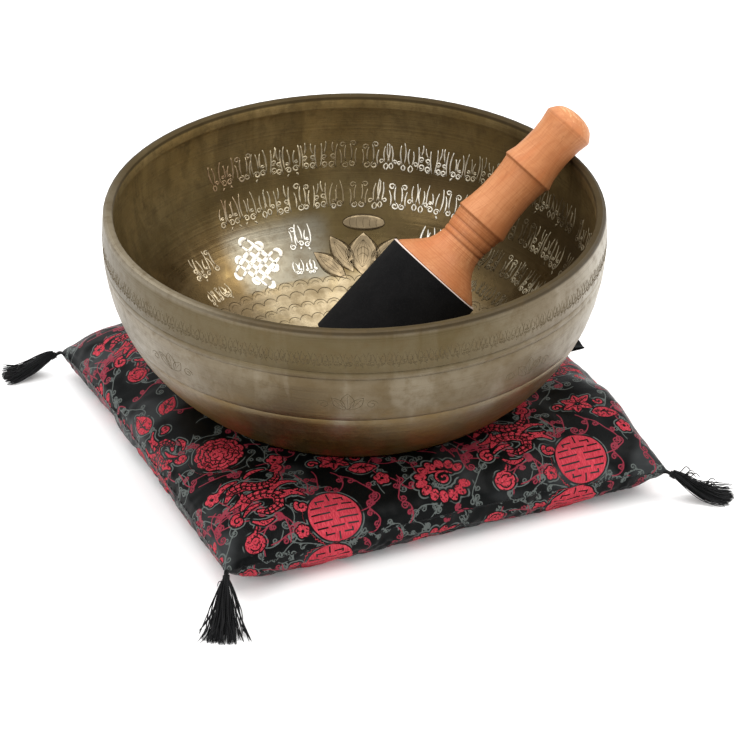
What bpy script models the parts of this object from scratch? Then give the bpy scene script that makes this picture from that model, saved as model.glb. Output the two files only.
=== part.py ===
"""Singing bowl on a square tasselled cushion, with a leather-wrapped mallet leaning inside it.

Metres, +Z up.  The origin is the middle of the cushion's flat underside, on the bowl's axis.
The cushion's sides run along X and Y; the mallet leans towards +X.
"""
import bpy
import bmesh
import math
from mathutils import Matrix, Vector

# ---------------------------------------------------------------- driving dimensions
GAP = 0.0003                 # clearance left between pieces that touch

BOWL_RIM_RADIUS = 0.1250     # outside of the lip
BOWL_BELLY_RADIUS = 0.12575  # widest part, a little under the lip
BOWL_RIM_Z = 0.1331          # top of the lip above the floor
BOWL_BELLY_Z = 0.1199        # height of the widest part
BOWL_DEPTH = 0.1048          # from the widest part to the bottom of the full curve
BOWL_CURVE = 2.15            # exponent of the bowl's outline, 2 is an ellipse
BOWL_FLAT_RADIUS = 0.040     # flat the bowl stands on
BOWL_WALL = 0.0030           # wall below the lip
BOWL_LIP = 0.0050            # thickness of the lip
BOWL_LIP_BAND = 0.0070       # height of the thick lip on the inside
BOWL_STEPS = 88
BOWL_RINGS = 19              # rows of the outline between the flat and the belly
GROOVE_HEIGHTS = (0.1106, 0.1066, 0.0800)
GROOVE_DEPTH = 0.00035
GROOVE_HALF = 0.0007

MALLET_LEAN = math.radians(41.4)      # axis above the horizontal
MALLET_AZIMUTH = math.radians(3.0)    # direction it leans in, from +X
MALLET_TIP_OUT = 0.12666     # distance of the handle's end from the bowl's axis
MALLET_TIP_Z = 0.15450       # height of the handle's end
MALLET_STEPS = 32
WRAP_START = 0.1084          # from the handle's end to the wrap
WRAP_LENGTH = 0.0592
WRAP_RADIUS = 0.0271
WRAP_THICKNESS = 0.0021
CORE_PROUD = 0.0008          # wood standing out of the wrap at the end
# turned outline of the handle: distance from its end, radius
HANDLE_OUTLINE = (
    (0.0004, 0.0045), (0.0014, 0.0080), (0.0030, 0.0106), (0.0048, 0.0120),
    (0.0068, 0.0134), (0.0080, 0.0138), (0.0096, 0.0135), (0.0140, 0.0127),
    (0.0200, 0.0122), (0.0270, 0.0124), (0.0330, 0.0131), (0.0374, 0.0144),
    (0.0385, 0.0146), (0.0396, 0.0136), (0.0440, 0.0129), (0.0510, 0.0124),
    (0.0590, 0.0125), (0.0660, 0.0133), (0.0719, 0.0145), (0.0731, 0.0147),
    (0.0743, 0.0137), (0.0783, 0.0132), (0.0791, 0.0128), (0.0799, 0.0131),
    (0.0838, 0.0125), (0.0846, 0.0121), (0.0854, 0.0124), (0.0870, 0.0123),
    (0.0878, 0.0119), (0.0886, 0.0122), (0.0925, 0.0129), (0.0960, 0.0143),
    (0.0990, 0.0166), (0.1020, 0.0195), (0.1050, 0.0226), (0.1070, 0.0246),
    (0.1080, 0.0252),
)

CUSHION_SIDE = 0.2358        # between the corner points
CUSHION_SEAM_Z = 0.0165      # height of the seam at its corners
CUSHION_SEAM_LIFT = 0.0035   # how much higher the seam is along its sides
CUSHION_CROWN = 0.0190       # how far the full pillow rises above its seam
CUSHION_KEEL = 0.0300        # how far the full pillow would hang below its seam
CUSHION_PLUMP = 5.2          # exponent, higher keeps the pillow full nearer its seam
CUSHION_BOW = 0.016          # how far each side is drawn in between its corners
CUSHION_CLOTH = 0.0011       # panel thickness
TOP_STEPS = 36               # grid cells across each cushion body
BOTTOM_STEPS = 24
FILLING_STEPS = 22
FILLING_SCALE = 0.910        # the filling stops short of the seam
FILLING_GAP = 0.0022         # slack between the filling and each panel

TAB_WIDTH = 0.0140           # small plain fabric tab in the +X seam
TAB_LENGTH = 0.0150
TAB_THICKNESS = 0.0016
TAB_Y = 0.0080

TASSEL_SIDES = 12
# stations along a tassel: outwards, height, half width, half height
TASSEL_CORD = ((0.0006, 0.0160, 0.0011, 0.0011), (0.0026, 0.0158, 0.0011, 0.0011),
               (0.0047, 0.0150, 0.0011, 0.0011), (0.0064, 0.0138, 0.0011, 0.0011))
TASSEL_HEAD = ((0.0067, 0.0136, 0.0015, 0.0015), (0.0076, 0.0130, 0.0024, 0.0023),
               (0.0096, 0.0116, 0.0026, 0.0025), (0.0112, 0.0105, 0.0021, 0.0020))
TASSEL_SKIRT = ((0.0116, 0.0102, 0.0022, 0.0020), (0.0145, 0.0086, 0.0036, 0.0027),
                (0.0190, 0.0062, 0.0058, 0.0034), (0.0245, 0.0044, 0.0078, 0.0036),
                (0.0300, 0.0036, 0.0094, 0.0033), (0.0352, 0.0029, 0.0104, 0.0026))
# corner signs and the direction each tassel lies in, degrees from +X
TASSELS = (
    ("front", -1, -1, -115.6),
    ("right", 1, -1, -31.0),
    ("back", 1, 1, 62.0),
    ("left", -1, 1, 172.0),
)


# ---------------------------------------------------------------- materials and helpers
def material(name, colour, roughness, metallic=0.0):
    mat = bpy.data.materials.new(name)
    mat.use_nodes = True
    shader = mat.node_tree.nodes["Principled BSDF"]
    shader.inputs["Base Color"].default_value = (*colour, 1.0)
    shader.inputs["Roughness"].default_value = roughness
    shader.inputs["Metallic"].default_value = metallic
    return mat


def part_from_bmesh(name, bm, mat):
    bmesh.ops.recalc_face_normals(bm, faces=bm.faces)
    mesh = bpy.data.meshes.new(name)
    bm.to_mesh(mesh)
    bm.free()
    obj = bpy.data.objects.new(name, mesh)
    obj.data.materials.append(mat)
    PARTS.objects.link(obj)
    return obj


def turned(name, outline, steps, mat):
    """A turned body: outline is (radius, height), running down the outer side."""
    mesh = bpy.data.meshes.new(name)
    points = [(r, 0.0, z) for r, z in outline]
    edges = [(i, i + 1) for i in range(len(points) - 1)]
    if outline[0][0] > 0.0:
        edges.append((len(points) - 1, 0))
    mesh.from_pydata(points, edges, [])
    obj = bpy.data.objects.new(name, mesh)
    obj.data.materials.append(mat)
    PARTS.objects.link(obj)
    screw = obj.modifiers.new("turn", "SCREW")
    screw.steps = steps
    screw.render_steps = steps
    screw.use_merge_vertices = True
    screw.merge_threshold = 0.00001
    screw.use_normal_calculate = True
    return obj


def loft(name, stations, mat):
    """A closed body through oval stations (outwards, height, half width, half height)."""
    bm = bmesh.new()
    rings = []
    for i, (x, z, wide, high) in enumerate(stations):
        before = stations[max(i - 1, 0)]
        after = stations[min(i + 1, len(stations) - 1)]
        along = Vector((after[0] - before[0], 0.0, after[1] - before[1])).normalized()
        up = Vector((-along.z, 0.0, along.x))
        ring = []
        for k in range(TASSEL_SIDES):
            a = 2.0 * math.pi * k / TASSEL_SIDES
            place = Vector((x, 0.0, z)) + up * (high * math.sin(a))
            place.y = wide * math.cos(a)
            ring.append(bm.verts.new(place))
        rings.append(ring)
    for low, top in zip(rings, rings[1:]):
        for k in range(TASSEL_SIDES):
            n = (k + 1) % TASSEL_SIDES
            bm.faces.new((low[k], low[n], top[n], top[k]))
    bm.faces.new(rings[0])
    bm.faces.new(rings[-1])
    return part_from_bmesh(name, bm, mat)


# ---------------------------------------------------------------- bowl
def bowl_radius(z, belly=BOWL_BELLY_RADIUS, depth=BOWL_DEPTH):
    """Radius of the bowl's outer curve at a height below its belly."""
    fall = min(max((BOWL_BELLY_Z - z) / depth, 0.0), 1.0)
    swing = fall ** (BOWL_CURVE / 2.0)
    return belly * math.sqrt(max(1.0 - swing * swing, 0.0)) ** (2.0 / BOWL_CURVE)


def bowl_height(r, belly=BOWL_BELLY_RADIUS, depth=BOWL_DEPTH):
    """Height of the outer curve at a radius inside the belly."""
    reach = min(r / belly, 1.0) ** (BOWL_CURVE / 2.0)
    return BOWL_BELLY_Z - depth * math.sqrt(max(1.0 - reach * reach, 0.0)) ** (2.0 / BOWL_CURVE)


BOWL_BASE_Z = bowl_height(BOWL_FLAT_RADIUS)


def bowl_outline():
    """Inner middle, up the inside, over the lip, down the outside, to the middle of the flat."""
    inner_belly = BOWL_BELLY_RADIUS - BOWL_WALL
    inner_depth = BOWL_BELLY_Z - BOWL_BASE_Z - BOWL_WALL
    lip_inner = BOWL_RIM_RADIUS - BOWL_LIP
    band_z = BOWL_RIM_Z - BOWL_LIP_BAND
    outline = [(0.0, BOWL_BELLY_Z - inner_depth)]
    for i in range(1, BOWL_RINGS + 1):
        a = 0.5 * math.pi * i / BOWL_RINGS
        r = inner_belly * math.sin(a) ** (2.0 / BOWL_CURVE)
        z = BOWL_BELLY_Z - inner_depth * math.cos(a) ** (2.0 / BOWL_CURVE)
        outline.append((r, z))
    outline.append((inner_belly - 0.0001, band_z - 0.0012))
    outline.append((lip_inner, band_z))
    outline.append((lip_inner, BOWL_RIM_Z - 0.0016))
    outline.append((lip_inner + 0.0005, BOWL_RIM_Z - 0.0005))
    outline.append((lip_inner + 0.0016, BOWL_RIM_Z))
    outline.append((BOWL_RIM_RADIUS - 0.0016, BOWL_RIM_Z))
    outline.append((BOWL_RIM_RADIUS - 0.0004, BOWL_RIM_Z - 0.0005))
    outline.append((BOWL_RIM_RADIUS + 0.0001, BOWL_RIM_Z - 0.0017))
    outline.append((BOWL_RIM_RADIUS + 0.0004, BOWL_RIM_Z - 0.0060))
    outline.append((BOWL_BELLY_RADIUS, BOWL_BELLY_Z))
    heights = []
    for i in range(1, BOWL_RINGS):
        a = 0.5 * math.pi * (1.0 - i / BOWL_RINGS)
        heights.append(BOWL_BELLY_Z - BOWL_DEPTH * math.cos(a) ** (2.0 / BOWL_CURVE))
    clear = 3.0 * GROOVE_HALF
    heights = [z for z in heights
               if z > BOWL_BASE_Z + 0.002 and all(abs(z - g) > clear for g in GROOVE_HEIGHTS)]
    rows = [(z, 0.0) for z in heights]
    for g in GROOVE_HEIGHTS:
        rows += [(g + GROOVE_HALF, 0.0), (g, GROOVE_DEPTH), (g - GROOVE_HALF, 0.0)]
    for z, cut in sorted(rows, reverse=True):
        outline.append((bowl_radius(z) - cut, z))
    outline.append((BOWL_FLAT_RADIUS + 0.0030, bowl_height(BOWL_FLAT_RADIUS + 0.0030)))
    outline.append((BOWL_FLAT_RADIUS, BOWL_BASE_Z))
    outline.append((0.0, BOWL_BASE_Z))
    return outline


def make_bowl(mat):
    return turned("bowl", bowl_outline(), BOWL_STEPS, mat)


# ---------------------------------------------------------------- mallet
def place_mallet(obj):
    """Put a mallet piece, drawn along -Z from its end, where the mallet leans."""
    side = Vector((math.cos(MALLET_AZIMUTH), math.sin(MALLET_AZIMUTH), 0.0))
    tip = side * MALLET_TIP_OUT + Vector((0.0, 0.0, MALLET_TIP_Z))
    tilt = Matrix.Rotation(0.5 * math.pi - MALLET_LEAN, 4, "Y")
    turn = Matrix.Rotation(MALLET_AZIMUTH, 4, "Z")
    obj.matrix_world = Matrix.Translation(tip) @ turn @ tilt


def make_handle(mat):
    core = WRAP_RADIUS - WRAP_THICKNESS - GAP
    end = WRAP_START + WRAP_LENGTH + CORE_PROUD
    outline = [(0.0, 0.0)] + [(r, -s) for s, r in HANDLE_OUTLINE]
    outline += [(core, -WRAP_START - 0.0004), (core, -end + 0.0012), (core - 0.0012, -end)]
    outline.append((0.0, -end))
    obj = turned("mallet_handle", outline, MALLET_STEPS, mat)
    place_mallet(obj)
    return obj


def make_wrap(mat):
    outer = WRAP_RADIUS
    inner = WRAP_RADIUS - WRAP_THICKNESS
    top = -WRAP_START
    end = top - WRAP_LENGTH
    ease = 0.0006
    outline = [(inner, end), (inner, top), (outer - ease, top), (outer, top - ease),
               (outer, end + ease), (outer - ease, end)]
    obj = turned("mallet_wrap", outline, MALLET_STEPS, mat)
    place_mallet(obj)
    return obj


# ---------------------------------------------------------------- cushion
def cushion_plan(u, v):
    """Plan position of a cloth point, u and v from -1 to 1; sides bow in, corners draw out."""
    half = 0.5 * CUSHION_SIDE
    x = u * half * (1.0 - CUSHION_BOW * (1.0 - v ** 4))
    y = v * half * (1.0 - CUSHION_BOW * (1.0 - u ** 4))
    return x, y


def cushion_full(u, v):
    """How full the pillow is at a cloth point, 0 at the seam and 1 in the middle."""
    full_u = 1.0 - abs(u) ** CUSHION_PLUMP
    full_v = 1.0 - abs(v) ** CUSHION_PLUMP
    return math.sqrt(max(full_u * full_v, 0.0))


def seam_height(u, v):
    return CUSHION_SEAM_Z + CUSHION_SEAM_LIFT * (1.0 - u * u * v * v)


def top_height(u, v):
    """Outside of the top panel, pressed down where the bowl sits."""
    x, y = cushion_plan(u, v)
    seam = seam_height(u, v) + 0.5 * GAP + CUSHION_CLOTH
    free = seam + (CUSHION_CROWN - CUSHION_CLOTH) * cushion_full(u, v)
    r = math.hypot(x, y)
    under_bowl = bowl_height(max(r, BOWL_FLAT_RADIUS)) - 3.0 * GAP
    return min(free, under_bowl) if r < BOWL_BELLY_RADIUS else free


def bottom_height(u, v):
    """Outside of the bottom panel, flat where it rests on the floor."""
    seam = seam_height(u, v) - 0.5 * GAP - CUSHION_CLOTH
    return max(seam - CUSHION_KEEL * cushion_full(u, v), 0.0)


def grid_body(name, upper, lower, n, scale, mat):
    """A closed body between two height fields over the cushion's plan."""
    steps = [2.0 * i / n - 1.0 for i in range(n + 1)]
    marks = [0.5 * math.sin(0.5 * math.pi * t) + 0.5 * t for t in steps]
    bm = bmesh.new()
    top = {}
    low = {}
    for i, u in enumerate(marks):
        for j, v in enumerate(marks):
            a, b = u * scale, v * scale
            x, y = cushion_plan(a, b)
            top[i, j] = bm.verts.new((x, y, upper(a, b)))
            low[i, j] = bm.verts.new((x, y, lower(a, b)))
    for i in range(n):
        for j in range(n):
            bm.faces.new((top[i, j], top[i + 1, j], top[i + 1, j + 1], top[i, j + 1]))
            bm.faces.new((low[i, j], low[i, j + 1], low[i + 1, j + 1], low[i + 1, j]))
    edge = [(i, 0) for i in range(n)] + [(n, j) for j in range(n)]
    edge += [(i, n) for i in range(n, 0, -1)] + [(0, j) for j in range(n, 0, -1)]
    for a, b in zip(edge, edge[1:] + edge[:1]):
        bm.faces.new((low[a], low[b], top[b], top[a]))
    return part_from_bmesh(name, bm, mat)


def make_cushion(cloth, filling):
    top_panel = grid_body("cushion_top_panel", top_height,
                          lambda u, v: top_height(u, v) - CUSHION_CLOTH, TOP_STEPS, 1.0, cloth)
    bottom_panel = grid_body("cushion_bottom_panel",
                             lambda u, v: bottom_height(u, v) + CUSHION_CLOTH,
                             bottom_height, BOTTOM_STEPS, 1.0, cloth)
    inside = grid_body("cushion_filling",
                       lambda u, v: top_height(u, v) - CUSHION_CLOTH - FILLING_GAP,
                       lambda u, v: bottom_height(u, v) + CUSHION_CLOTH + FILLING_GAP,
                       FILLING_STEPS, FILLING_SCALE, filling)
    return top_panel, bottom_panel, inside


def make_tab(cloth):
    """Plain folded tab that stands out of the middle of the +X seam."""
    seam_x = 0.5 * CUSHION_SIDE * (1.0 - CUSHION_BOW)
    bm = bmesh.new()
    bmesh.ops.create_cube(bm, size=1.0)
    bmesh.ops.scale(bm, vec=(TAB_LENGTH, TAB_WIDTH, TAB_THICKNESS), verts=bm.verts)
    obj = part_from_bmesh("cushion_side_tab", bm, cloth)
    obj.location = (seam_x + GAP + 0.5 * TAB_LENGTH, TAB_Y, CUSHION_SEAM_Z + CUSHION_SEAM_LIFT)
    edge = obj.modifiers.new("edge", "BEVEL")
    edge.width = 0.0005
    edge.segments = 2
    return obj


# ---------------------------------------------------------------- tassels
def make_tassel(name, sx, sy, degrees, cord_mat, thread_mat):
    half = 0.5 * CUSHION_SIDE
    corner = bpy.data.objects.new("tassel_" + name + "_corner", None)
    corner.location = (sx * half, sy * half, 0.0)
    corner.rotation_euler = (0.0, 0.0, math.radians(degrees))
    PARTS.objects.link(corner)
    for piece, stations, mat in (("cord", TASSEL_CORD, cord_mat), ("head", TASSEL_HEAD, cord_mat),
                                 ("skirt", TASSEL_SKIRT, thread_mat)):
        obj = loft("tassel_" + name + "_" + piece, stations, mat)
        obj.parent = corner


# ---------------------------------------------------------------- assembly
for old in list(bpy.data.objects):
    bpy.data.objects.remove(old, do_unlink=True)

PARTS = bpy.data.collections.new("singing_bowl_set")
bpy.context.scene.collection.children.link(PARTS)

AGED_BRASS = material("aged_brass", (0.20, 0.165, 0.095), 0.38, 1.0)
TURNED_WOOD = material("turned_wood", (0.60, 0.225, 0.075), 0.5)
BLACK_LEATHER = material("black_leather", (0.012, 0.012, 0.014), 0.85)
BROCADE = material("brocade", (0.045, 0.012, 0.016), 0.6)
FILLING = material("filling", (0.75, 0.73, 0.68), 0.95)
BLACK_CORD = material("black_cord", (0.010, 0.010, 0.011), 0.7)
BLACK_THREAD = material("black_thread", (0.012, 0.012, 0.013), 0.6)

make_bowl(AGED_BRASS)
make_handle(TURNED_WOOD)
make_wrap(BLACK_LEATHER)
make_cushion(BROCADE, FILLING)
make_tab(BROCADE)
for tassel in TASSELS:
    make_tassel(*tassel, BLACK_CORD, BLACK_THREAD)
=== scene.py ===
"""Looks of the singing bowl set: engraved bronze bowl, leather-headed mallet, tasselled brocade cushion."""
import math
import random

import bpy
import numpy as np
from mathutils import Matrix, Vector
from mathutils.bvhtree import BVHTree


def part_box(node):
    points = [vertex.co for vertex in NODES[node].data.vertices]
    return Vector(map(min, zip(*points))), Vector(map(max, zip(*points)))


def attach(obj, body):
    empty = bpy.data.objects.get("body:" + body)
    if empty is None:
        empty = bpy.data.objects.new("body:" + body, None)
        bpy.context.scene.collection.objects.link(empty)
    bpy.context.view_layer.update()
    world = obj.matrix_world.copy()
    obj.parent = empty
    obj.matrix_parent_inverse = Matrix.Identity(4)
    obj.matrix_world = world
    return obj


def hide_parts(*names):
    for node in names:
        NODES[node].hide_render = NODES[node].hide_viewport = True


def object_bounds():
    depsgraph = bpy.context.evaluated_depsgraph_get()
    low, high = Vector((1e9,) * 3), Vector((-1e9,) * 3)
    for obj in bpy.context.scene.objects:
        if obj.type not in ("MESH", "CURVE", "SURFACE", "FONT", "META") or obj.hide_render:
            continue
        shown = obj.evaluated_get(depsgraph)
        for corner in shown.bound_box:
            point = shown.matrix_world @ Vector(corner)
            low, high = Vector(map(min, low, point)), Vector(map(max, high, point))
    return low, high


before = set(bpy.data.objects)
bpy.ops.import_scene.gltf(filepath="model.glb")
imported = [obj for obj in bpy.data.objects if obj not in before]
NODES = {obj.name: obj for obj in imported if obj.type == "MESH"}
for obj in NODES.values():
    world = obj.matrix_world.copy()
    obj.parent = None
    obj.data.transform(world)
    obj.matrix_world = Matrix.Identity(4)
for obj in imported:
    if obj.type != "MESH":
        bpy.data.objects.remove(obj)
CAD_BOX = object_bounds()
MM = 0.001
WELD = 0.00001               # corners of a CAD mesh closer than this become one point
UP = Vector((0.0, 0.0, 1.0))

# ---------------------------------------------------------------- camera and light
CAMERA_AZIMUTH = math.radians(-23.58)
CAMERA_ELEVATION = math.radians(30.8)
CAMERA_DISTANCE = 2.0
CAMERA_TARGET = (0.00612, -0.00267, 0.03917)
CAMERA_LENS = 192.25

# name, direction it stands in, distance, width, height, power, colour
SOFTBOXES = (
    ("key_right", (0.56, -0.30, 0.77), 1.30, 0.74, 0.60, 6.5, (1.0, 0.98, 0.95)),
    ("key_left", (-0.83, -0.38, 0.42), 1.30, 0.40, 0.50, 4.4, (1.0, 0.99, 0.97)),
    ("top", (-0.10, 0.25, 1.0), 1.60, 1.60, 1.60, 23.0, (1.0, 1.0, 1.0)),
)
LIGHT_HEIGHT = 0.06          # the softboxes are aimed at this height
WORLD_STRENGTH = 0.90

# ---------------------------------------------------------------- bowl dimensions
LIP_Z = (0.1305, 0.1318)             # the lip's own dark colour, with painted light at its left end, comes in between these heights
PAINTED_LIGHT_SIDE = (0.914, -0.407, 0.0)     # level direction in which painted light makes the bowl palest
PAINTED_SHADE_SIDE = (-0.966, 0.259, 0.0)     # and the one in which its inside is painted darkest, as painted shade
WINDOW_MIDDLE = math.radians(91.0)   # angle of the first polished field inside the bowl
LOTUS_ANGLES = (64.0, 154.0, 244.0, 334.0)
LOTUS_Z = 0.0560
KNOT_ANGLES = (99.1, 279.1)
KNOT_Z = 0.0550
KNOT_CELL, KNOT_WIDTH, KNOT_TILT = 4.75, 3.05, 33.0   # millimetres, millimetres and degrees
ROSETTES = ((12, 9.0, 22.0), (24, 24.0, 36.0))        # petals, inner and outer radius in millimetres
LINE_SINK = 0.00002                  # the lines start this far inside the metal
LINE_RAISE = 0.00009                 # and stand this far out of it
# bands of flourishes inside: height on the wall, how tall in millimetres, seed, line width and which
# of the two sets of gaps it leaves
INNER_BANDS = (
    (0.0915, 15.4, 11, 1.15, "high"),
    (0.0725, 15.4, 12, 1.20, "high"),
    (0.0572, 13.8, 13, 1.30, "low"),
    (0.0478, 8.6, 14, 1.10, "low"),
)
FRIEZE_Z, FRIEZE_TALL, FRIEZE_SEED = 0.1145, 7.6, 21   # of the worn row under the lip outside
SPRIGS, SPRIG_Z, SPRIG_START = 8, 0.0880, -115.0       # worn leaves under it: how many, height, first angle
SCALE_ROWS, SCALES_ROUND = 7, 62
SCALE_START, SCALE_STEP = 0.0022, 0.0032   # the lowest row above the bowl's floor, and each row above that

# ---------------------------------------------------------------- cushion dimensions
SIDE_BOW = 0.016             # how far each side is drawn in between its corners
PLUMP = 6.6                  # higher keeps the pillow full nearer its seam
PLUMP_BELOW = 5.2            # the same for the underside
EAR = (0.0034, 0.0, 0.0054)  # how far the cover swells beside the right corner
SEAM_Z = 0.0165              # height of the seam at the corners
SEAM_LIFT = 0.0035           # and how much higher it is between them
CROWN = 0.0182               # fullness above the seam
KEEL = 0.0300                # and below it, cut off flat by the floor
FLOOR_CLEAR = 0.0002
BOWL_CLEAR = 0.0005
STITCH_PITCH = 0.0034        # between the seam's stitches
STITCH_RISE, STITCH_OUT = 0.00035, 0.00012     # a stitch's ends from the seam, and its middle's bulge
STITCH_RADII = (0.00010, 0.00022, 0.00010)     # at its ends and in its middle
GATHER_PITCH, GATHER_DEPTH = 0.0078, 0.00024   # small gathers beside the seam
FOLD_PITCH, FOLD_DEPTH = 0.021, 0.00034        # longer folds that run in from it
SLACK_DEPTH = 0.00016        # soft hills in the free cloth
UNDER_BOWL = 0.010           # points of the cover lower than this can't reach the bowl
TAB_CELLS = (18, 10)         # along the side tab's fold and across it
TAB_CLOTH = (0.02, 0.31)     # where on the cloth the tab is cut from, metres
HELD_RADIUS = 0.104          # the bowl holds the cloth inside this radius
HELD_FADE = 0.016            # and lets it go over this much more
SIM_FRAMES = 18              # steps of the cloth simulation
SIM_PRESSURE = 2.2
SIM_CAP = 0.0045             # farthest a point may move in it
COARSE = 80                  # cells across the simulated cover
REFINE = 5                   # fine cells for each simulated one
# how each corner droops: signs along X and Y, then the shift in metres
CORNER_DROOP = (
    (-1, 1, (0.0, 0.0, -0.0045)),
    (-1, -1, (0.0, 0.0, 0.0020)),
    (1, -1, (0.0016, 0.0, -0.0015)),
    (1, 1, (0.0, 0.0, -0.0020)),
)

# ---------------------------------------------------------------- brocade repeat, millimetres
REPEAT_X, REPEAT_Y = 133.0, 161.0
REPEAT_START = (-58.0, -110.5)     # of one copy, from the cushion's middle
UNDERSIDE_SHIFT = (-6.0, -3.5)     # of the pattern on the underside
BADGE_RADIUS = 13.2
BLOOM_RADIUS = 12.9
LINE_REACH = 2.2             # how near a thin line has to be to be measured
FIGURE_REACH = 27.0          # no figure is larger than this
FAR = 3.0                    # distances are cut off here
AWAY = 40.0                  # place in a badge or bloom of a point that lies in none
GREY_TENDRILS = (3, 85)      # seed and how many in one repeat
RED_TENDRILS = (4, 60)

# ---------------------------------------------------------------- tassel dimensions
# name, direction it lies in, degrees from +X, how far its end bends sideways, half width at its end,
# its length, the height it starts at, metres, and how many frayed threads stand out of it
TASSELS = (
    ("front", -115.6, 0.0004, 0.0136, 0.0352, 0.0185, 2),
    ("right", -31.0, 0.0034, 0.0086, 0.0345, 0.0150, 20),
    ("back", 62.0, 0.0010, 0.0100, 0.0350, 0.0145, 3),
    ("left", 172.0, -0.0030, 0.0098, 0.0310, 0.0120, 0),
)
TASSEL_SEED = 40
CAD_HEAD_MIDDLE = 0.00905    # from the corner to the middle of the CAD's tassel head
HEAD_START, HEAD_END = 0.0021, 0.0053   # of the bound neck, from the corner
THREAD_DROP = 0.0145         # distance over which the threads sink to the floor
STRANDS = 190                # threads in each tassel
LOCKS, LOCK_PULL = 19, 0.30  # locks that the threads gather into, and how tightly
CORD_RADIUS = 0.00066        # of the twisted loop
CORD_TURNS = 3.0             # of its two plies round each other
NECK_RADII = (0.0007, 0.0011, 0.0013) + (0.0014,) * 8 + (0.0013, 0.0010)
BINDING_RADIUS = 0.00150     # of the thread wound round the neck
BINDING_TURNS = 5
BINDING_STEPS = 120          # points of its route


# ---------------------------------------------------------------- node helpers
def add(tree, kind, inputs=None, **settings):
    """A new shader node with its settings, values and links."""
    node = tree.nodes.new(kind)
    for key, value in settings.items():
        setattr(node, key, value)
    for key, value in (inputs or {}).items():
        value = getattr(value, "socket", value)
        if isinstance(value, bpy.types.NodeSocket):
            tree.links.new(value, node.inputs[key])
        else:
            node.inputs[key].default_value = value
    return node


class Value:
    """Output of a shader node. Arithmetic with it adds the nodes that do the sum."""

    def __init__(self, nodes, socket):
        self.nodes = nodes
        self.socket = socket

    def __add__(self, other):
        return self.nodes.math("ADD", self, other)

    def __sub__(self, other):
        return self.nodes.math("SUBTRACT", self, other)

    def __rsub__(self, other):
        return self.nodes.math("SUBTRACT", other, self)

    def __mul__(self, other):
        return self.nodes.math("MULTIPLY", self, other)

    def __abs__(self):
        return self.nodes.math("ABSOLUTE", self)

    __radd__ = __add__
    __rmul__ = __mul__


class Nodes:
    """Short names for the shader nodes that these materials share."""

    def __init__(self, name):
        self.material = bpy.data.materials.new(name)
        self.material.use_nodes = True
        self.tree = self.material.node_tree
        self.shader = self.tree.nodes["Principled BSDF"]
        self.place = self.coordinates("Object")

    def output(self, kind, key, inputs=None, **settings):
        return Value(self, add(self.tree, kind, inputs, **settings).outputs[key])

    def coordinates(self, name):
        return self.output("ShaderNodeTexCoord", name)

    def math(self, operation, a, b=0.0):
        return self.output("ShaderNodeMath", 0, {0: a, 1: b}, operation=operation)

    def vector(self, operation, a, b=(0.0, 0.0, 0.0)):
        key = "Value" if operation in ("DOT_PRODUCT", "LENGTH") else "Vector"
        return self.output("ShaderNodeVectorMath", key, {0: a, 1: b}, operation=operation)

    def scaled(self, vector, *factors):
        """The vector with its three parts multiplied, which draws a noise out along the small ones."""
        return self.vector("MULTIPLY", vector, factors)

    def split(self, vector):
        parts = add(self.tree, "ShaderNodeSeparateXYZ", {0: vector}).outputs
        return [Value(self, part) for part in parts]

    def noise(self, vector, scale, detail, distortion=0.0, roughness=0.55):
        inputs = {"Vector": vector, "Scale": scale, "Detail": detail, "Distortion": distortion,
                  "Roughness": roughness}
        return self.output("ShaderNodeTexNoise", "Fac", inputs)

    def noise_line(self, value, scale, detail):
        inputs = {"W": value, "Scale": scale, "Detail": detail}
        return self.output("ShaderNodeTexNoise", "Fac", inputs, noise_dimensions="1D")

    def cells(self, vector, scale):
        inputs = {"Vector": vector, "Scale": scale}
        return self.output("ShaderNodeTexVoronoi", 0, inputs, feature="SMOOTH_F1")

    def slope(self, value, low, high, first, last):
        """Goes smoothly from first to last while the value goes from low to high."""
        inputs = {"Value": value, "From Min": low, "From Max": high, "To Min": first, "To Max": last}
        return self.output("ShaderNodeMapRange", 0, inputs, interpolation_type="SMOOTHSTEP")

    def rise(self, value, low, high, top=1.0):
        return self.slope(value, low, high, 0.0, top)

    def fall(self, value, low, high, top=1.0):
        return self.slope(value, low, high, top, 0.0)

    def mix(self, factor, a, b):
        a, b = ((*c, 1.0) if isinstance(c, tuple) else c for c in (a, b))
        return self.output("ShaderNodeMix", 2, {0: factor, 6: a, 7: b}, data_type="RGBA")

    def coats(self, colour, *coats):
        """The colour with coats laid over it in turn, each a mask and a colour."""
        for mask, coat in coats:
            colour = self.mix(mask, colour, coat)
        return colour

    def attribute(self, name, key="Fac"):
        return self.output("ShaderNodeAttribute", key, attribute_name=name)

    def bump(self, height, distance, strength, under=None):
        inputs = {"Height": height, "Distance": distance, "Strength": strength}
        if under is not None:
            inputs["Normal"] = under
        return self.output("ShaderNodeBump", 0, inputs)

    def finish(self, **inputs):
        for key, value in inputs.items():
            socket = self.shader.inputs[key.replace("_", " ")]
            if isinstance(value, Value):
                self.tree.links.new(value.socket, socket)
            else:
                socket.default_value = (*value, 1.0) if isinstance(value, tuple) else value
        return self.material


# ---------------------------------------------------------------- mesh helpers
def mesh_piece(name, points, faces, material, smooth=True):
    mesh = bpy.data.meshes.new(name)
    mesh.from_pydata([tuple(p) for p in points], [], faces)
    mesh.update()
    mesh.materials.append(material)
    mesh.polygons.foreach_set("use_smooth", [smooth] * len(mesh.polygons))
    piece = bpy.data.objects.new(name, mesh)
    bpy.context.scene.collection.objects.link(piece)
    return piece


def store(piece, name, values):
    """Puts a number or a vector on each of the piece's points, for its material to read."""
    values = np.asarray(values, np.float32)
    kind, field = ("FLOAT", "value") if values.ndim == 1 else ("FLOAT_VECTOR", "vector")
    piece.data.attributes.new(name, kind, "POINT").data.foreach_set(field, values.ravel())


def with_third(pairs, third):
    return np.c_[pairs, np.full(len(pairs), third)]


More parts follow.
